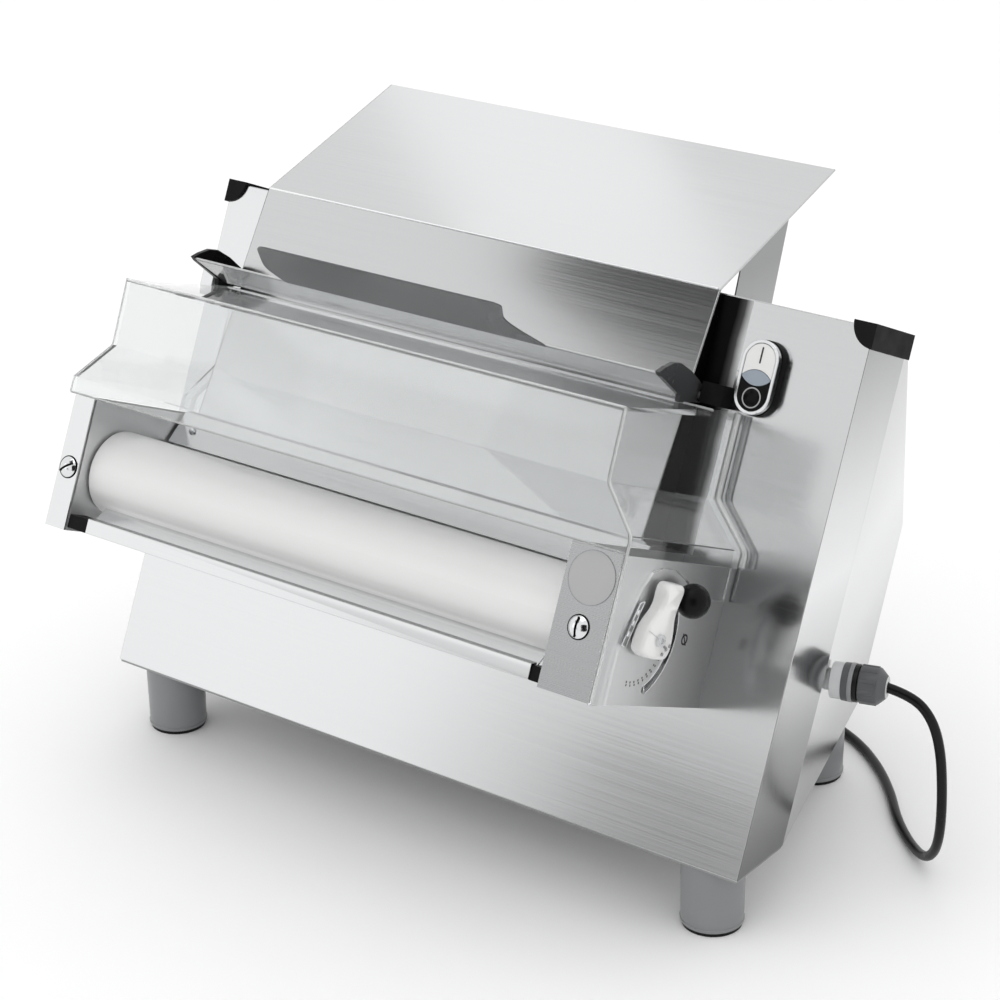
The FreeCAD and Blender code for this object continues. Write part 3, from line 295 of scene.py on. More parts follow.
LOOKS = {
    steel_x: ["front_tray", "hopper_chute", "lower_cross_bar", "front_scraper", "rear_roller_scraper",
              "side_plate_left"],
    steel_soft_painted_light: ["bearing_plate_inner"],
    steel_side: ["rear_cover", "hopper_gussets", "base_plate", "motor_bracket"],
    steel_dull_painted_light: ["side_plate_right"],
    steel_plain: ["rear_shaft", "adjusting_shaft", "pinion_shaft", "rear_bearing_housings", "bearing_blocks",
                  "hinge_pins", "rear_gear", "front_roller_core", "lever_link", "motor"],
    bright: ["bearing_screws", "foot_screws", "scraper_screws", "lever_screw", "knob_nut", "switch_bezel"],
    catch_steel: ["lever_catch"],
    roller_white: ["front_roller", "rear_roller"],
    white_gloss: ["lever_handle", "start_button", "front_gear", "block_guides"],
    black_matte: ["corner_caps", "hinge_blocks", "scraper_end_blocks", "control_box", "run_capacitor",
                  "switch_body", "switch_gasket", "stop_button"],
    black_gloss: ["lever_knob", "funnel_cheeks"],
    grey_flap: ["feed_funnel"],
    foot_grey: ["feet"],
    gland_grey: ["gland_body"],
    gland_dark: ["gland_nut"],
    rubber: ["foot_pads", "mains_cord", "cord_coil", "mains_plug", "gland_seal"],
    lens_grey: ["pilot_lens"],
    guard_clear: ["guard"],
    painted: ["gearbox"],
    board: ["control_board"],
    bronze: ["front_roller_bushes", "rear_bushes"],
}
for material, names in LOOKS.items():
    for name in names:
        nodes[name].data.materials.clear()
        nodes[name].data.materials.append(material)

RIGHT_PART_X = 0.18


def dress_faces(name, extra, chosen):
    """Give a second material to the faces of a node that chosen picks."""
    mesh = nodes[name].data
    mesh.materials.append(extra)
    for face in mesh.polygons:
        if chosen(face):
            face.material_index = 1


def facing(axis, least):
    """Picks the faces of the object's right part that lie across an axis."""
    return lambda face: abs(face.normal.dot(axis)) > least and face.center.x > RIGHT_PART_X


# The right side plate's flange gets a darker steel of painted shade, the tray's side strip gets its painted
# reflection, the guard's right side is the clearest, the left hinge block is steel and the right cheek is
# grey.
dress_faces("side_plate_right", steel_flange_painted_shade, facing(PANEL_OUT, 0.9))
dress_faces("front_tray", steel_strip, facing(Vector((1, 0, 0)), 0.9))
dress_faces("guard", guard_side, facing(Vector((1, 0, 0)), 0.6))
dress_faces("hinge_blocks", steel_x, lambda face: face.center.x < 0)
dress_faces("funnel_cheeks", cheek_grey, lambda face: face.center.x > 0)

# Rounded edges on the CAD nodes, in millimetres, as a bent sheet or a moulding has them.
WELD_WITHIN = 0.00001
EDGE_OVER = math.radians(28)
ROUNDED = {
    1.5: ["hopper_chute"],
    0.7: ["front_tray", "rear_cover", "hopper_gussets"],
    1.1: ["corner_caps", "hinge_blocks"],
    0.5: ["switch_bezel", "funnel_cheeks", "start_button", "stop_button", "gland_body", "mains_plug",
          "lever_link", "lower_cross_bar", "bearing_screws"],
    0.9: ["feet", "gland_nut", "guard"],
}
for millimetres, names in ROUNDED.items():
    for name in names:
        weld = nodes[name].modifiers.new("weld", "WELD")
        weld.merge_threshold = WELD_WITHIN
        bevel = nodes[name].modifiers.new("bevel", "BEVEL")
        bevel.width = millimetres / 1000
        bevel.segments = 3
        bevel.limit_method = "ANGLE"
        bevel.angle_limit = EDGE_OVER
        bevel.use_clamp_overlap = True
        bevel.harden_normals = True


# --- mains cord ---
CORD_D = 0.0075
GLAND_TURN = math.radians(16.7)
GLAND_AXIS = Vector((math.cos(GLAND_TURN), math.sin(GLAND_TURN), 0))
GLAND_SEAT = Vector((293.7, 128.7, 163.6))
CORD_EXIT = world_mm(*(GLAND_SEAT + GLAND_AXIS * 44.0))
CORD_REST = CORD_D * 500
CORD_ROUTE = [(354.0, 146.8, 159.6), (368.0, 151.0, 144.0), (375.0, 153.2, 120.0), (377.5, 154.5, 87.6),
              (376.5, 157.5, 53.0), (368.0, 167.5, 25.5), (352.0, 181.5, 8.0), (328.0, 202.0, CORD_REST),
              (302.5, 228.5, CORD_REST), (278.0, 262.0, CORD_REST), (250.0, 292.0, CORD_REST),
              (217.0, 318.0, CORD_REST), (180.0, 334.5, CORD_REST), (142.0, 341.0, CORD_REST)]
COIL_CENTRE = (92.0, 388.0)
COIL_RADIUS = 40.0
COIL_STEPS = 16
COIL_START = 80.0
# (radius, height) of each turn, from the outside in and back out on top.
COIL_TURNS = [(47.5, CORD_REST), (40.0, CORD_REST + 2.2), (32.5, CORD_REST), (32.5, CORD_REST + 7.5),
              (40.0, CORD_REST + 7.6), (47.5, CORD_REST + 7.5)]
LAST_STEPS = 4


def cord_points():
    """Control points of the cord from the gland's end to the plug, in metres."""
    points = list(CORD_ROUTE)
    cx, cy = COIL_CENTRE
    following = COIL_TURNS[1:] + COIL_TURNS[-1:]
    steps = [COIL_STEPS] * (len(COIL_TURNS) - 1) + [LAST_STEPS]
    for (radius, height), (next_radius, next_height), count in zip(COIL_TURNS, following, steps):
        for i in range(count):
            ease = max(0.0, (i - COIL_STEPS + 4) / 4)
            r = radius + (next_radius - radius) * ease
            z = height + (next_height - height) * ease
            angle = math.radians(-COIL_START - 360.0 / COIL_STEPS * i)
            points.append((cx + r * math.cos(angle), cy + r * math.sin(angle), z))
    return [CORD_EXIT] + [world_mm(*p) for p in points]


def build_cord():
    points = cord_points()
    curve = bpy.data.curves.new("mains_lead", "CURVE")
    curve.dimensions = "3D"
    curve.resolution_u = 8
    curve.bevel_depth = CORD_D / 2
    curve.bevel_resolution = 5
    curve.use_fill_caps = True
    spline = curve.splines.new("NURBS")
    spline.points.add(len(points) - 1)
    for point, place in zip(spline.points, points):
        point.co = (*place, 1)
    spline.order_u = 3
    spline.use_endpoint_u = True
    cord = bpy.data.objects.new("mains_lead", curve)
    bpy.context.collection.objects.link(cord)
    curve.materials.append(rubber)
    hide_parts("mains_cord", "cord_coil")
    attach(cord, "frame")


build_cord()


# --- mesh helpers for the pieces ---
def add_piece(name, bm, material, body, rounded=0.0):
    """Turn a bmesh into a piece of the object, with its edges rounded by a width in metres."""
    bmesh.ops.recalc_face_normals(bm, faces=bm.faces)
    mesh = bpy.data.meshes.new(name)
    bm.to_mesh(mesh)
    bm.free()
    mesh.materials.append(material)
    made = bpy.data.objects.new(name, mesh)
    bpy.context.collection.objects.link(made)
    if rounded:
        bevel = made.modifiers.new("bevel", "BEVEL")
        bevel.width = rounded
        bevel.segments = 3
        bevel.limit_method = "ANGLE"
        bevel.angle_limit = math.radians(30)
    for face in mesh.polygons:
        face.use_smooth = True
    mesh.set_sharp_from_angle(angle=math.radians(35))
    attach(made, body)
    return made


def add_prism(bm, outline, offset):
    """Add the solid between an outline of points and the same outline moved by offset."""
    low = [bm.verts.new(p) for p in outline]
    high = [bm.verts.new(p + offset) for p in outline]
    bm.faces.new(low)
    bm.faces.new(high[::-1])
    for i in range(len(low)):
        j = (i + 1) % len(low)
        bm.faces.new((low[i], low[j], high[j], high[i]))


def add_loops(bm, loops, closed=False):
    """Skin a list of point loops with quads; closed joins the last loop to the first."""
    rings = [[bm.verts.new(p) for p in loop] for loop in loops]
    pairs = list(zip(rings, rings[1:])) + ([(rings[-1], rings[0])] if closed else [])
    for first, second in pairs:
        for i in range(len(first)):
            j = (i + 1) % len(first)
            bm.faces.new((first[i], first[j], second[j], second[i]))
    if not closed:
        bm.faces.new(rings[0])
        bm.faces.new(rings[-1][::-1])


def turned(bm, origin, axis, profile, steps=40, closed=False):
    """Skin of a profile of (distance along axis, radius) turned round an axis, all in metres."""
    side = axis.orthogonal().normalized()
    other = axis.cross(side)
    loops = []
    for along, radius in profile:
        loops.append([origin + axis * along + (side * math.cos(t) + other * math.sin(t)) * radius
                      for t in (2 * math.pi * i / steps for i in range(steps))])
    add_loops(bm, loops, closed)


def rounded_outline(points, radii, steps=4):
    """Replace each corner of a flat (u, v) outline by an arc-like curve of about that radius."""
    result = []
    count = len(points)
    for i, (corner, radius) in enumerate(zip(points, radii)):
        before, here, after = Vector(points[i - 1]), Vector(corner), Vector(points[(i + 1) % count])
        back, ahead = (before - here), (after - here)
        reach = min(radius, back.length * 0.45, ahead.length * 0.45)
        start, end = here + back.normalized() * reach, here + ahead.normalized() * reach
        for k in range(steps + 1):
            t = k / steps
            result.append(start * (1 - t) ** 2 + here * 2 * t * (1 - t) + end * t * t)
    return result


def add_wire(name, points, radius, material, body, smooth=False):
    """A round bead along a line of points, in metres; smooth rounds the line's corners."""
    curve = bpy.data.curves.new(name, "CURVE")
    curve.dimensions = "3D"
    curve.bevel_depth = radius
    curve.bevel_resolution = 3
    curve.resolution_u = 6
    curve.use_fill_caps = True
    spline = curve.splines.new("NURBS" if smooth else "POLY")
    spline.points.add(len(points) - 1)
    for point, place in zip(spline.points, points):
        point.co = (*place, 1)
    if smooth:
        spline.order_u = 3
        spline.use_endpoint_u = True
    made = bpy.data.objects.new(name, curve)
    bpy.context.collection.objects.link(made)
    curve.materials.append(material)
    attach(made, body)
    return made


# --- feed funnel: a smoky lower wall and a dark flap; corners as (s, d) ---
CHUTE_LEFT = -257.0
CHUTE_RIGHT = 175.0
RIM_FOOT = (322.5, 27.5)
RIM = (335.0, 68.0)
FLAP_TOP = (356.0, 125.0)
FUNNEL_THICK = 1.2
# The flap's outline as (x, distance up the flap from the rim), with the radius of each corner.
FLAP_SHAPE = [(-167.0, -1.0), (-175.0, 20.0), (-156.0, 61.0), (68.0, 61.0), (73.0, 58.0), (61.0, 33.0),
              (67.0, 19.0), (82.0, -1.0)]
FLAP_RADII = [1.0, 18.0, 9.0, 4.0, 4.0, 14.0, 12.0, 1.0]


def build_funnel():
    left, right = CHUTE_LEFT - 3.0, CHUTE_RIGHT + 2.0
    rise = Vector((RIM[0] - RIM_FOOT[0], RIM[1] - RIM_FOOT[1])).normalized()
    inward = (-rise.y * FUNNEL_THICK, rise.x * FUNNEL_THICK)
    bm = bmesh.new()
    outline = [at(left, *RIM_FOOT), at(right, *RIM_FOOT), at(right, *RIM), at(left, *RIM)]
    offset = at(0, inward[0], inward[1]) - at(0, 0, 0)
    add_prism(bm, outline, offset)
    wall = add_piece("funnel_wall", bm, smoke_clear, "guard_body", 0.0003)
    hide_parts("feed_funnel")

    along = Vector((FLAP_TOP[0] - RIM[0], FLAP_TOP[1] - RIM[1])).normalized()
    outline = [at(x, RIM[0] + along.x * t, RIM[1] + along.y * t)
               for x, t in rounded_outline(FLAP_SHAPE, FLAP_RADII)]
    offset = at(0, -along.y * FUNNEL_THICK, along.x * FUNNEL_THICK) - at(0, 0, 0)
    bm = bmesh.new()
    add_prism(bm, outline, offset)
    flap = add_piece("funnel_flap", bm, grey_flap, "guard_body", 0.0003)
    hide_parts("feed_funnel")
    rim = [at(left, RIM[0], RIM[1] + 0.2), at(right, RIM[0], RIM[1] + 0.2)]
    # The rim bead's whitish haze is partly painted highlight.
    add_wire("funnel_rim", rim, 0.0008, edge_clear_highlight, "guard_body")


build_funnel()


# --- chute: painted shade, a black sheet in the gap between the chute's right side and the panel and a black strip fading to steel beside it, and a painted highlight along the bend ---
CHUTE_TOP = (404.0, 5.4)
CHUTE_FALL = 25.6 / 193.0
# Heights, thickness and reach of the painted shade beside the chute's right side, in millimetres.
CHUTE_SHADE_LOW, CHUTE_SHADE_HIGH = 213.5, 401.0
CHUTE_SHADE_THICK = 1.7
CHUTE_SHADE_REACH = 26.0


def chute_d(s):
    """Distance of the chute's plate from the panel at a height s."""
    return CHUTE_TOP[1] + (CHUTE_TOP[0] - s) * CHUTE_FALL


def fading_painted_shade(name, x_dark, x_light):
    """Painted shade: black on its left that thins out to polished steel on its right, by place along the
    rollers.
    """
    m = Mat(name)
    split = m.node("ShaderNodeSeparateXYZ")
    m.link(m.coords, split.inputs[0])
    ripple = m.span(m.noise(30.0), -0.0008, 0.0008)
    place = m.node("ShaderNodeMath", operation="ADD")
    m.link(split.outputs["X"], place.inputs[0])
    m.link(ripple, place.inputs[1])
    share = m.span(place.outputs[0], 0.0, 1.0, x_dark, x_light)
    m.base(m.colours(share, [(0.0, (0.0015, 0.0015, 0.0015)), (0.5, (0.06, 0.06, 0.06)),
                             (1.0, (0.55, 0.555, 0.56))]))
    m.link(share, m.shader.inputs["Metallic"])
    m.set(Specular_IOR_Level=0.05)
    m.rough(m.span(m.noise(1.0, X_GRAIN, 4.0, 0.65), 0.3, 0.4))
    return m.material


def build_chute_painted_light():
    low, high = CHUTE_SHADE_LOW, CHUTE_SHADE_HIGH
    x1 = CHUTE_RIGHT - 0.1
    x0 = x1 - CHUTE_SHADE_THICK
    corners = [(low, 0.3), (high, 0.3), (high, chute_d(high) - 1.8), (low, chute_d(low) - 1.8)]
    bm = bmesh.new()
    add_prism(bm, [at(x0, s, d) for s, d in corners], Vector((CHUTE_SHADE_THICK / 1000, 0, 0)))
    # Painted shade: a black sheet fills the gap behind the chute's right side.
    add_piece("chute_gap_painted_shade", bm, painted_shade_black, "frame", 0.0003)

    # Painted shade: a black strip on the panel beside the chute fades to steel and stands in for a dark
    # reflection.
    end = x1 + CHUTE_SHADE_REACH
    section = [(x1, 0.06), (end, 0.06), (end - 4, 0.25), (x1 + 8, 0.7), (x1, 0.9)]
    bm = bmesh.new()
    add_prism(bm, [at(x, low, d) for x, d in section], at(0, high, 0) - at(0, low, 0))
    fade_material = fading_painted_shade("chute_shade_fade", (x1 + CHUTE_SHADE_REACH * 0.55) / 1000, end / 1000)
    add_piece("chute_painted_shade", bm, fade_material, "frame")

    # Painted highlight: a bright bead along the chute's bend stands in for its glint.
    bend = (CHUTE_TOP[0] - 0.1, CHUTE_TOP[1] + 0.5)
    ends = [at(CHUTE_LEFT + 2.0, *bend), at(CHUTE_RIGHT - 2.0, *bend)]
    add_wire("chute_bend_painted_highlight", ends, 0.0008, bend_painted_highlight, "frame")


build_chute_painted_light()

# --- guard: polished edges and glued joints as hazy beads whose whiteness is partly painted highlight, and a thin dark line of painted shade beside some of them ---
GUARD_LEFT, GUARD_RIGHT = -257.0, 207.3
SKIRT_LEFT, SKIRT_RIGHT = -281.4, 239.4
GUARD_REAR_D = 6.0
CORNER_REACH = 9.0
SHADE_RADIUS = 0.00035


def softened(points):
    """A guard edge with extra points before and after each corner, so that its NURBS bead turns roundly."""
    line = [points[0]]
    for before, corner, after in zip(points, points[1:], points[2:]):
        line.append(corner + (before - corner).normalized() * CORNER_REACH / 1000)
        line.append(corner)
        line.append(corner + (after - corner).normalized() * CORNER_REACH / 1000)
    if len(line) == 1:
        line.append((points[0] + points[-1]) / 2)
    line.append(points[-1])
    return line


def guard_side_edge(wall_x, skirt_x, sections):
    """A line down a side of the guard: two (s, d) points on its wall, then two on its wider skirt."""
    places = [wall_x, wall_x, skirt_x, skirt_x]
    return [at(x, s, d) for x, (s, d) in zip(places, sections)]


def build_guard_edges():
    upper = [(308.0, 144.2), (256.0, 142.8), (225.0, 150.2)]
    front_right = guard_side_edge(GUARD_RIGHT - 0.8, SKIRT_RIGHT - 0.8, upper + [(110.5, 150.2)])
    front_left = guard_side_edge(GUARD_LEFT + 0.8, SKIRT_LEFT + 0.8, upper + [(213.4, 150.2)])
    rear_right = guard_side_edge(GUARD_RIGHT + 8.0, SKIRT_RIGHT + 8.0,
                                 [(320.0, 7.5), (257.0, 7.5), (226.0, 7.5), (215.0, 7.5)])
    top_front = [at(GUARD_LEFT + 0.8, 307.6, 144.4), at(GUARD_RIGHT - 0.8, 307.6, 144.4)]
    top_rear = [at(GUARD_LEFT + 2.0, 318.4, 28.0), at(GUARD_RIGHT - 2.0, 318.4, 28.0)]
    bottom = [at(SKIRT_LEFT + 1.0, 213.2, 150.0), at(SKIRT_RIGHT - 1.0, 213.2, 150.0)]
    skirt_rear = [at(SKIRT_RIGHT - 1.2, s, GUARD_REAR_D + 1) for s in (190.0, 212.0)]
    # The beads are the rounded edges; their whitish haze is partly painted highlight.
    beads = [("front_right", front_right, 1.1), ("front_left", front_left, 0.7),
             ("rear_right", rear_right, 2.4), ("top_front", top_front, 0.9), ("top_rear", top_rear, 1.0),
             ("bottom", bottom, 0.8), ("skirt_rear", skirt_rear, 0.9)]
    for name, points, radius in beads:
        add_wire("guard_edge_" + name, softened(points), radius / 1000, edge_clear_highlight, "guard_body",
                 smooth=True)
    right = Vector((1, 0, 0))
    # Painted shade: thin dark grey lines beside some edges stand in for the dark lines that the clear edges
    # show.
    shades = [("front_right", front_right, right * -1.5), ("rear_right", rear_right, right * 2.7),
              ("rear_right_inner", rear_right, right * -2.7), ("top_front", top_front, PANEL_UP * -1.5),
              ("bottom", bottom, PANEL_UP * -0.2)]
    for name, points, offset in shades:
        line = softened([point + offset / 1000 for point in points])
        add_wire("guard_shade_" + name, line, SHADE_RADIUS, painted_shade_grey, "guard_body", smooth=True)


build_guard_edges()

# --- switch marks ---
BUTTON_X, BUTTON_S = 223.5, 348.4
BUTTON_FACE_D = 10.6
STOP_S = BUTTON_S - 15.0


def panel_ring(bm, x, s, d, outer, inner, thick, steps=36):
    """A flat ring lying parallel to the panel, in millimetres."""
    profile = [(0, inner), (0, outer), (thick, outer), (thick, inner)]
    turned(bm, at(x, s, d), PANEL_OUT, [(a / 1000, b / 1000) for a, b in profile], steps, closed=True)


def build_switch_marks():
    bar = [(-0.65, 10.0), (0.65, 10.0), (0.65, 22.0), (-0.65, 22.0)]
    face = BUTTON_FACE_D - 0.1
    outline = [at(BUTTON_X + x, BUTTON_S + s, face) for x, s in rounded_outline(bar, [0.6] * 4)]
    bm = bmesh.new()
    add_prism(bm, outline, PANEL_OUT * 0.00025)
    add_piece("start_mark", bm, ink, "start")
    bm = bmesh.new()
    panel_ring(bm, BUTTON_X, STOP_S, face, 7.6, 6.7, 0.25)
    add_piece("stop_mark", bm, label_grey, "stop")
    bm = bmesh.new()
    turned(bm, at(BUTTON_X, STOP_S, face), PANEL_OUT,
           [(0, 0.0062), (0.0003, 0.0062), (0.0009, 0.005), (0.0012, 0.002)])
    add_piece("stop_dome", bm, black_gloss, "stop")


build_switch_marks()


# --- right side plate: label, scale, symbol and slot edge ---
PLATE_FACE = FRAME_RIGHT + 0.05
SLOT_RADIUS = 43.6
SLOT_HALF = 2.9
KNOB_ANGLE = 42.0
LEVER_TURN = 100.0
SLOT_SPARE = 3.0
LABEL = (214.0, 191.0)
LABEL_RADIUS = 18.8
SCALE_MARKS = 9
SCALE_START, SCALE_SWEEP = -97.0, 68.0
SCALE_ROWS = ((33.6, 0.0), (35.8, 1.2))
SYMBOL = (157.9, 42.9)


def arc_point(angle_deg, radius):
    """(s, d) of a point round the lever pivot; 0 degrees points at the panel and 90 degrees up it."""
    angle = math.radians(angle_deg)
    return ROLLER_S + radius * math.sin(angle), LEVER_D - radius * math.cos(angle)


def build_plate_marks():
    bm = bmesh.new()
    radius = LABEL_RADIUS / 1000
    turned(bm, at(*LABEL, FRAME_D + 0.03), PANEL_OUT, [(0, radius), (0.00018, radius)], 64)
    add_piece("blank_label", bm, label_grey, "frame")
    bm = bmesh.new()
    panel_ring(bm, *LABEL, FRAME_D + 0.05, LABEL_RADIUS + 0.1, LABEL_RADIUS - 0.2, 0.3, 64)
    add_piece("label_outline", bm, foot_grey, "frame")

    bm = bmesh.new()
    mark = rounded_outline([(-0.75, -0.55), (0.75, -0.55), (0.75, 0.55), (-0.75, 0.55)], [0.3] * 4, 2)
    for i in range(SCALE_MARKS):
        angle = SCALE_START + SCALE_SWEEP * i / (SCALE_MARKS - 1)
        for radius, ahead in SCALE_ROWS:
            s, d = arc_point(angle + ahead, radius)
            add_prism(bm, [at(PLATE_FACE, s + u, d + v) for u, v in mark], Vector((0.0001, 0, 0)))
    add_piece("gap_scale", bm, ink, "frame")

    bm = bmesh.new()
    s, d = SYMBOL
    turned(bm, at(PLATE_FACE, s, d), Vector((1, 0, 0)),
           [(0, 0.0027), (0, 0.0041), (0.0001, 0.0041), (0.0001, 0.0027)], 32, closed=True)
    bar = [(-5.2, -0.6), (5.2, -0.6), (5.2, 0.6), (-5.2, 0.6)]
    add_prism(bm, [at(PLATE_FACE, s + u * 0.8 - v * 0.6, d + u * 0.6 + v * 0.8) for u, v in bar],
              Vector((0.0001, 0, 0)))
    add_piece("turn_symbol", bm, ink, "frame")

    first, last = KNOB_ANGLE + SLOT_SPARE, KNOB_ANGLE - LEVER_TURN - SLOT_SPARE
    steps = 24
    edge = SLOT_HALF + 0.3
    path = []
    for radius, start, end in ((SLOT_RADIUS + edge, first, last), (SLOT_RADIUS - edge, last, first)):
        path += [arc_point(start + (end - start) * i / steps, radius) for i in range(steps + 1)]
    path.append(path[0])
    line = [at(PLATE_FACE + 0.1, s, d) for s, d in path]
    add_wire("slot_edge", line, 0.00045, bright, "frame")


build_plate_marks()


# --- lever: white grip with its hub screws, pointer and seam, and the chrome catch's rivets and rim ---
GRIP_FACE = FRAME_RIGHT + 15.02
GRIP_MIDDLE = Vector((168.0, 99.0))
# The grip's rim at each height above the side plate, drawn in towards its middle.
GRIP_LAYERS = ((4.05, 0.0), (11.0, 0.0), (13.2, 0.6), (14.4, 1.8), (14.95, 3.4))
CATCH_FACE = FRAME_RIGHT + 2.65


def build_lever_details():
    out = Vector((1, 0, 0))
    shape = [(198.0, 83.0), (198.5, 105.5), (181.0, 104.5), (169.0, 116.5), (150.5, 121.0), (145.0, 108.0),
             (144.5, 87.0), (151.0, 83.5), (163.0, 83.5), (180.0, 88.0)]
    radii = [4.0, 8.0, 14.0, 14.0, 7.0, 12.0, 6.0, 5.0, 12.0, 12.0]
    bm = bmesh.new()
    rim = rounded_outline(shape, radii, 6)
    loops = []
    for x, inset in GRIP_LAYERS:
        loops.append([at(FRAME_RIGHT + x, *(p + (GRIP_MIDDLE - p).normalized() * inset)) for p in rim])
    add_loops(bm, loops)
    grip = add_piece("lever_grip", bm, white_gloss, "lever")
    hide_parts("lever_handle")
    bm = bmesh.new()
    for s, d in ((153.0, 91.5), (149.5, 95.5), (155.5, 87.5)):
        turned(bm, at(GRIP_FACE, s, d), out, [(0, 0.0013), (0.0006, 0.0013), (0.0008, 0.0009)], 20)
    pointer = [(156.0, 100.0), (157.6, 99.0), (154.5, 91.0), (152.9, 92.0)]
    add_prism(bm, [at(GRIP_FACE, s, d) for s, d in pointer], out * 0.0005)
    add_piece("lever_pointer", bm, catch_steel, "lever", 0.0001)
    seam = [at(GRIP_FACE, s, d) for s, d in ((165.0, 119.0), (160.0, 104.0), (158.0, 96.0))]
    add_wire("lever_seam", seam, 0.0002, label_grey, "lever")
    bm = bmesh.new()
    for s, d in ((174.5, 118.5), (167.0, 121.7), (159.5, 124.8)):
        turned(bm, at(CATCH_FACE, s, d), out, [(0, 0.0024), (0.0009, 0.0022), (0.0013, 0.0012)], 24)
    add_piece("catch_rivets", bm, bright, "frame")
    rim = [(182.5, 113.0), (181.0, 118.2), (151.8, 129.4), (149.6, 124.2), (182.5, 113.0)]
    line = [at(CATCH_FACE + 0.05, s, d) for s, d in rim]
    add_wire("catch_rim", line, 0.0005, bright, "frame")


build_lever_details()


# --- screws: painted shade in the slots of the domed heads, and a ring of painted shadow round each head ---
SCREWS_S = ROLLER_S - 2.5
# Place along the rollers and turn of the slot in degrees.
SCREWS = ((-268.0, 35.0), (213.0, 90.0))


def build_screw_slots():
    bm = bmesh.new()
    slot = [(-7.2, -0.8), (7.2, -0.8), (7.2, 0.8), (-7.2, 0.8)]
    for x, turn_deg in SCREWS:
        c, r = math.cos(math.radians(turn_deg)), math.sin(math.radians(turn_deg))
        spun = [(u * c - v * r, u * r + v * c) for u, v in slot]
        add_prism(bm, [at(x + u, SCREWS_S + v, FRAME_D + 2.42) for u, v in spun], PANEL_OUT * 0.0004)
    add_piece("screw_slots", bm, painted_shade_black, "frame")
    bm = bmesh.new()
    # Painted shadow: a black ring on the plate round each screw head.
    for x, _ in SCREWS:
        panel_ring(bm, x, SCREWS_S, FRAME_D + 0.02, 8.9, 8.0, 0.35)
    add_piece("screw_shadows", bm, painted_shade_black, "frame")


build_screw_slots()


# --- gland: ribs on the nut, its washer, two rings and the lip round the cord ---
GLAND_RIBS = 10
NUT_RADIUS = 0.0136
# Name, distance along the gland, profile of (distance, radius) and rounding, in metres, with the steps
# round the ring, the material and the slot.
GLAND_RINGS = (
    ("gland_washer", 0.0205, [(0, 0.0126), (0, 0.0141), (0.0030, 0.0141), (0.0030, 0.0126)], 0.0003, 48,
     rubber, "rubber_black"),
    ("gland_ring_dark", 0.0118, [(0, 0.0133), (0, 0.0140), (0.0048, 0.0142), (0.0048, 0.0133)], 0.0003, 48,
     gland_dark, "gland_dark"),
    ("gland_ring_light", 0.0168, [(0, 0.0133), (0, 0.0145), (0.0032, 0.0145), (0.0032, 0.0133)], 0.0004, 48,
     foot_grey, "gland_grey"),
    ("gland_lip", 0.0436, [(0, 0.0080), (0.0006, 0.0080), (0.0006, 0.0044), (0, 0.0044)], 0.0, 40,
     gland_grey, "gland_grey"),
)


def build_gland_details():
    seat = world_mm(*GLAND_SEAT)
    axis = GLAND_AXIS
    side = Vector((-axis.y, axis.x, 0))
    up = Vector((0, 0, 1))
    bm = bmesh.new()
    for i in range(GLAND_RIBS):
        t = 2 * math.pi * i / GLAND_RIBS
        radial = side * math.cos(t) + up * math.sin(t)
        across = axis.cross(radial)
        base = seat + axis * 0.0247 + radial * NUT_RADIUS
        top = base + radial * 0.0009
        outline = [base - across * 0.0016, base + across * 0.0016,
                   top + across * 0.0009, top - across * 0.0009]
        add_prism(bm, outline, axis * 0.0125)
    add_piece("gland_ribs", bm, gland_dark, "frame", 0.0002)
    for name, along, profile, rounding, steps, material, slot in GLAND_RINGS:
        bm = bmesh.new()
        turned(bm, seat + axis * along, axis, profile, steps, closed=True)
        add_piece(name, bm, material, "frame", rounding)


build_gland_details()


# --- plug: grip ribs, face plate and pin sleeves ---
PLUG_AT = (COIL_CENTRE[0] - 52.0, COIL_CENTRE[1] - COIL_RADIUS, 18.2)
PIN_OFFSETS = (-9.5, 9.5)


def build_plug_details():
    px, py, pz = PLUG_AT
    backward = Vector((-1, 0, 0))
    bm = bmesh.new()
    for i in range(4):
        turned(bm, world_mm(px - 4.0 - 4.5 * i, py, pz), backward,
               [(0, 0.0177), (0.0005, 0.01815), (0.0013, 0.01815), (0.0018, 0.0177)], 48)
    for i in range(5):
        radius = (11.2 - 1.15 * i) / 1000
        rib = [(0, radius), (0.0003, radius + 0.0007), (0.0014, radius + 0.0005), (0.0018, radius - 0.0004)]
        turned(bm, world_mm(px + 3.0 + 4.2 * i, py, pz), Vector((1, 0, 0)), rib, 40)
    add_piece("plug_ribs", bm, rubber, "frame")
    bm = bmesh.new()
    for dy in PIN_OFFSETS:
        turned(bm, world_mm(px - 26.2, py + dy, pz), backward,
               [(0, 0.0026), (0.0004, 0.0031), (0.008, 0.0031), (0.0084, 0.0026)], 24)
    add_piece("plug_pin_sleeves", bm, black_gloss, "frame")
    bm = bmesh.new()
    for dy in PIN_OFFSETS:
        turned(bm, world_mm(px - 34.7, py + dy, pz), backward,
               [(0, 0.0024), (0.0085, 0.00245), (0.0098, 0.0018), (0.0102, 0.0006)], 24)
    add_piece("plug_pins", bm, bright, "frame")


build_plug_details()


# --- feet: a collar at the top and at the bottom of each ---
FOOT_PLACES = ((-263.0, 27.0), (263.0, 27.0), (-209.0, 260.0), (209.0, 260.0))
# Height of each collar and its profile of (height, radius) in metres.
FOOT_COLLARS = (
    (53.2, [(0, 0.0238), (0.0002, 0.0241), (0.0022, 0.0241), (0.0026, 0.0236)]),
    (3.2, [(0, 0.0229), (0.0004, 0.0236), (0.0022, 0.0237), (0.0026, 0.0232)]),
)


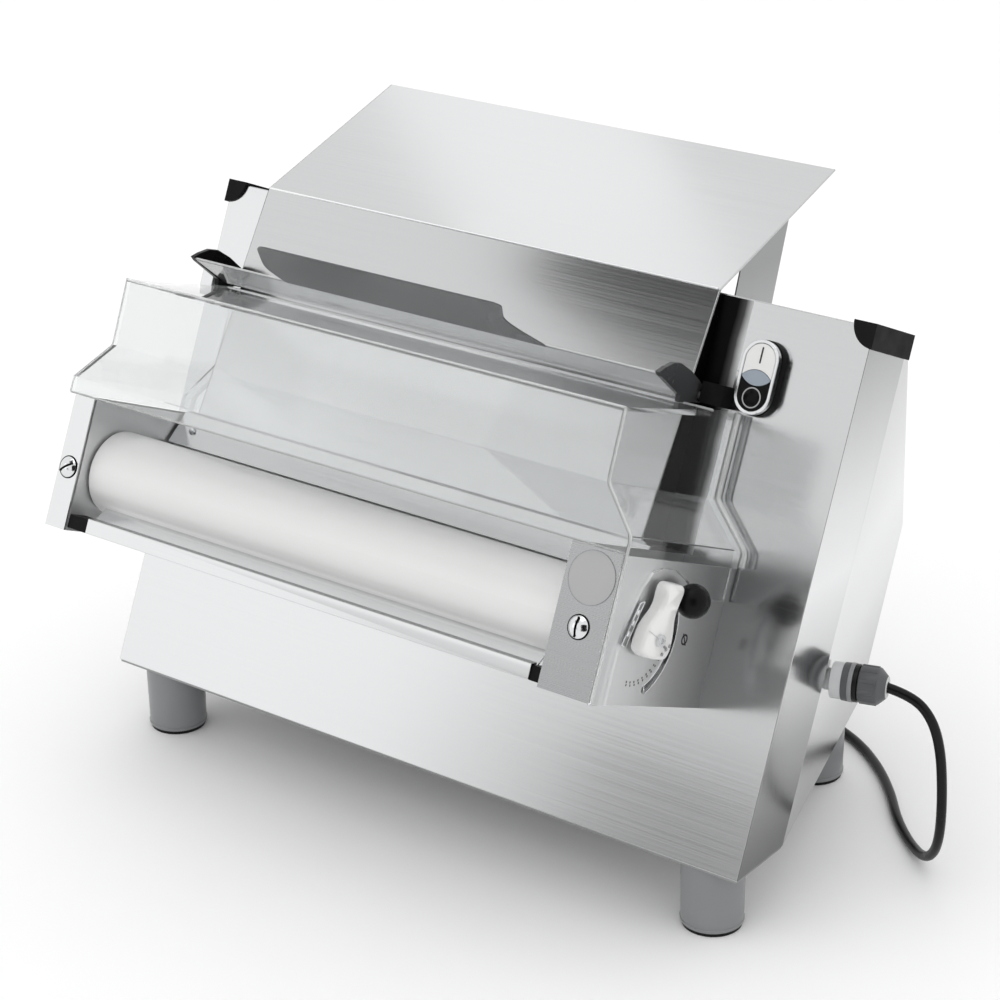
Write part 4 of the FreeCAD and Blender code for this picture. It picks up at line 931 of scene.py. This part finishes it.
def build_foot_details():
    bm = bmesh.new()
    for x, y in FOOT_PLACES:
        for z, profile in FOOT_COLLARS:
            turned(bm, world_mm(x, y, z), Vector((0, 0, 1)), profile, 56)
    add_piece("foot_collars", bm, foot_grey, "frame")


build_foot_details()


# --- floor and light: a pale floor and world, three soft lamps and three cards for the steel to mirror ---
def add_quad(name, corners, material):
    """A flat stage card through four corners."""
    mesh = bpy.data.meshes.new(name)
    mesh.from_pydata([tuple(c) for c in corners], [], [(0, 1, 2, 3)])
    card = bpy.data.objects.new(name, mesh)
    bpy.context.collection.objects.link(card)
    mesh.materials.append(material)
    return card


def direction(left_deg, up_deg):
    """Unit vector at an azimuth left of the front and an elevation."""
    left, up = math.radians(left_deg), math.radians(up_deg)
    return Vector((-math.sin(left) * math.cos(up), -math.cos(left) * math.cos(up), math.sin(up)))


def facing_card(name, target, left_deg, up_deg, distance, width, height, material):
    """A card facing a target, from an azimuth left of the front and an elevation.

    It shows in the steel's reflections only: it takes no light from the floor and isn't seen itself.
    """
    away = direction(left_deg, up_deg)
    centre = Vector(target) + away * distance
    across = away.cross(Vector((0, 0, 1))).normalized() * width / 2
    upright = across.cross(away).normalized() * height / 2
    corners = [centre - across - upright, centre + across - upright, centre + across + upright,
               centre - across + upright]
    card = add_quad(name, corners, material)
    card.visible_camera = False
    card.visible_diffuse = False
    card.visible_shadow = False
    return card


def stage_material(name, low, high):
    """A dull material for the floor and the cards."""
    m = Mat(name)
    m.base(m.colours(m.noise(2.0), [(0.3, low), (0.7, high)]))
    m.rough(m.span(m.noise(8.0), 0.65, 0.75))
    m.set(Specular_IOR_Level=0.1)
    return m.material


def add_softbox(name, target, left_deg, up_deg, distance, width, height, radiance):
    """A rectangular lamp placed like a card, with its brightness given as radiance."""
    away = direction(left_deg, up_deg)
    data = bpy.data.lights.new(name, "AREA")
    data.shape = "RECTANGLE"
    data.size = width
    data.size_y = height
    data.energy = radiance * math.pi * width * height
    lamp = bpy.data.objects.new(name, data)
    bpy.context.collection.objects.link(lamp)
    lamp.location = Vector(target) + away * distance
    lamp.rotation_euler = (-away).to_track_quat("-Z", "Y").to_euler()


FLOOR_HALF = 6.0
WORLD_STRENGTH = 1.04


def build_studio():
    floor_white = stage_material("floor_white", (0.965, 0.965, 0.965), (0.975, 0.975, 0.975))
    corners = [(x * FLOOR_HALF, y * FLOOR_HALF, 0) for x, y in ((-1, -1), (1, -1), (1, 1), (-1, 1))]
    add_quad("floor", corners, floor_white)
    world = bpy.data.worlds.new("studio")
    bpy.context.scene.world = world
    world.use_nodes = True
    background = world.node_tree.nodes["Background"]
    background.inputs["Color"].default_value = (1, 1, 1, 1)
    background.inputs["Strength"].default_value = WORLD_STRENGTH
    bpy.context.scene.view_settings.view_transform = "Standard"

    black_card = stage_material("black_card", (0.004, 0.004, 0.004), (0.006, 0.006, 0.006))
    dark_card = stage_material("dark_card", (0.05, 0.05, 0.05), (0.06, 0.06, 0.06))
    grey_card = stage_material("grey_card", (0.30, 0.30, 0.30), (0.33, 0.33, 0.33))
    panel = (0.0, -0.05, 0.24)
    chute_top = (0.12, 0.02, 0.42)
    facing_card("card_behind_camera", panel, -36.0, 20.0, 3.2, 2.4, 2.6, black_card)
    facing_card("card_above_chute", chute_top, 36.5, 43.0, 1.0, 0.34, 0.46, dark_card)
    facing_card("card_low_right", (0.15, -0.1, 0.12), 24.0, 10.0, 2.0, 0.5, 0.28, grey_card)
    add_softbox("softbox_front_left", panel, 44.0, 14.0, 2.2, 0.9, 1.0, 0.36)
    add_softbox("softbox_back_left", (0.0, 0.1, 0.45), 129.0, 43.0, 2.0, 0.34, 0.8, 0.3)
    add_softbox("softbox_top", panel, 20.0, 78.0, 2.4, 1.6, 1.2, 0.9)


build_studio()
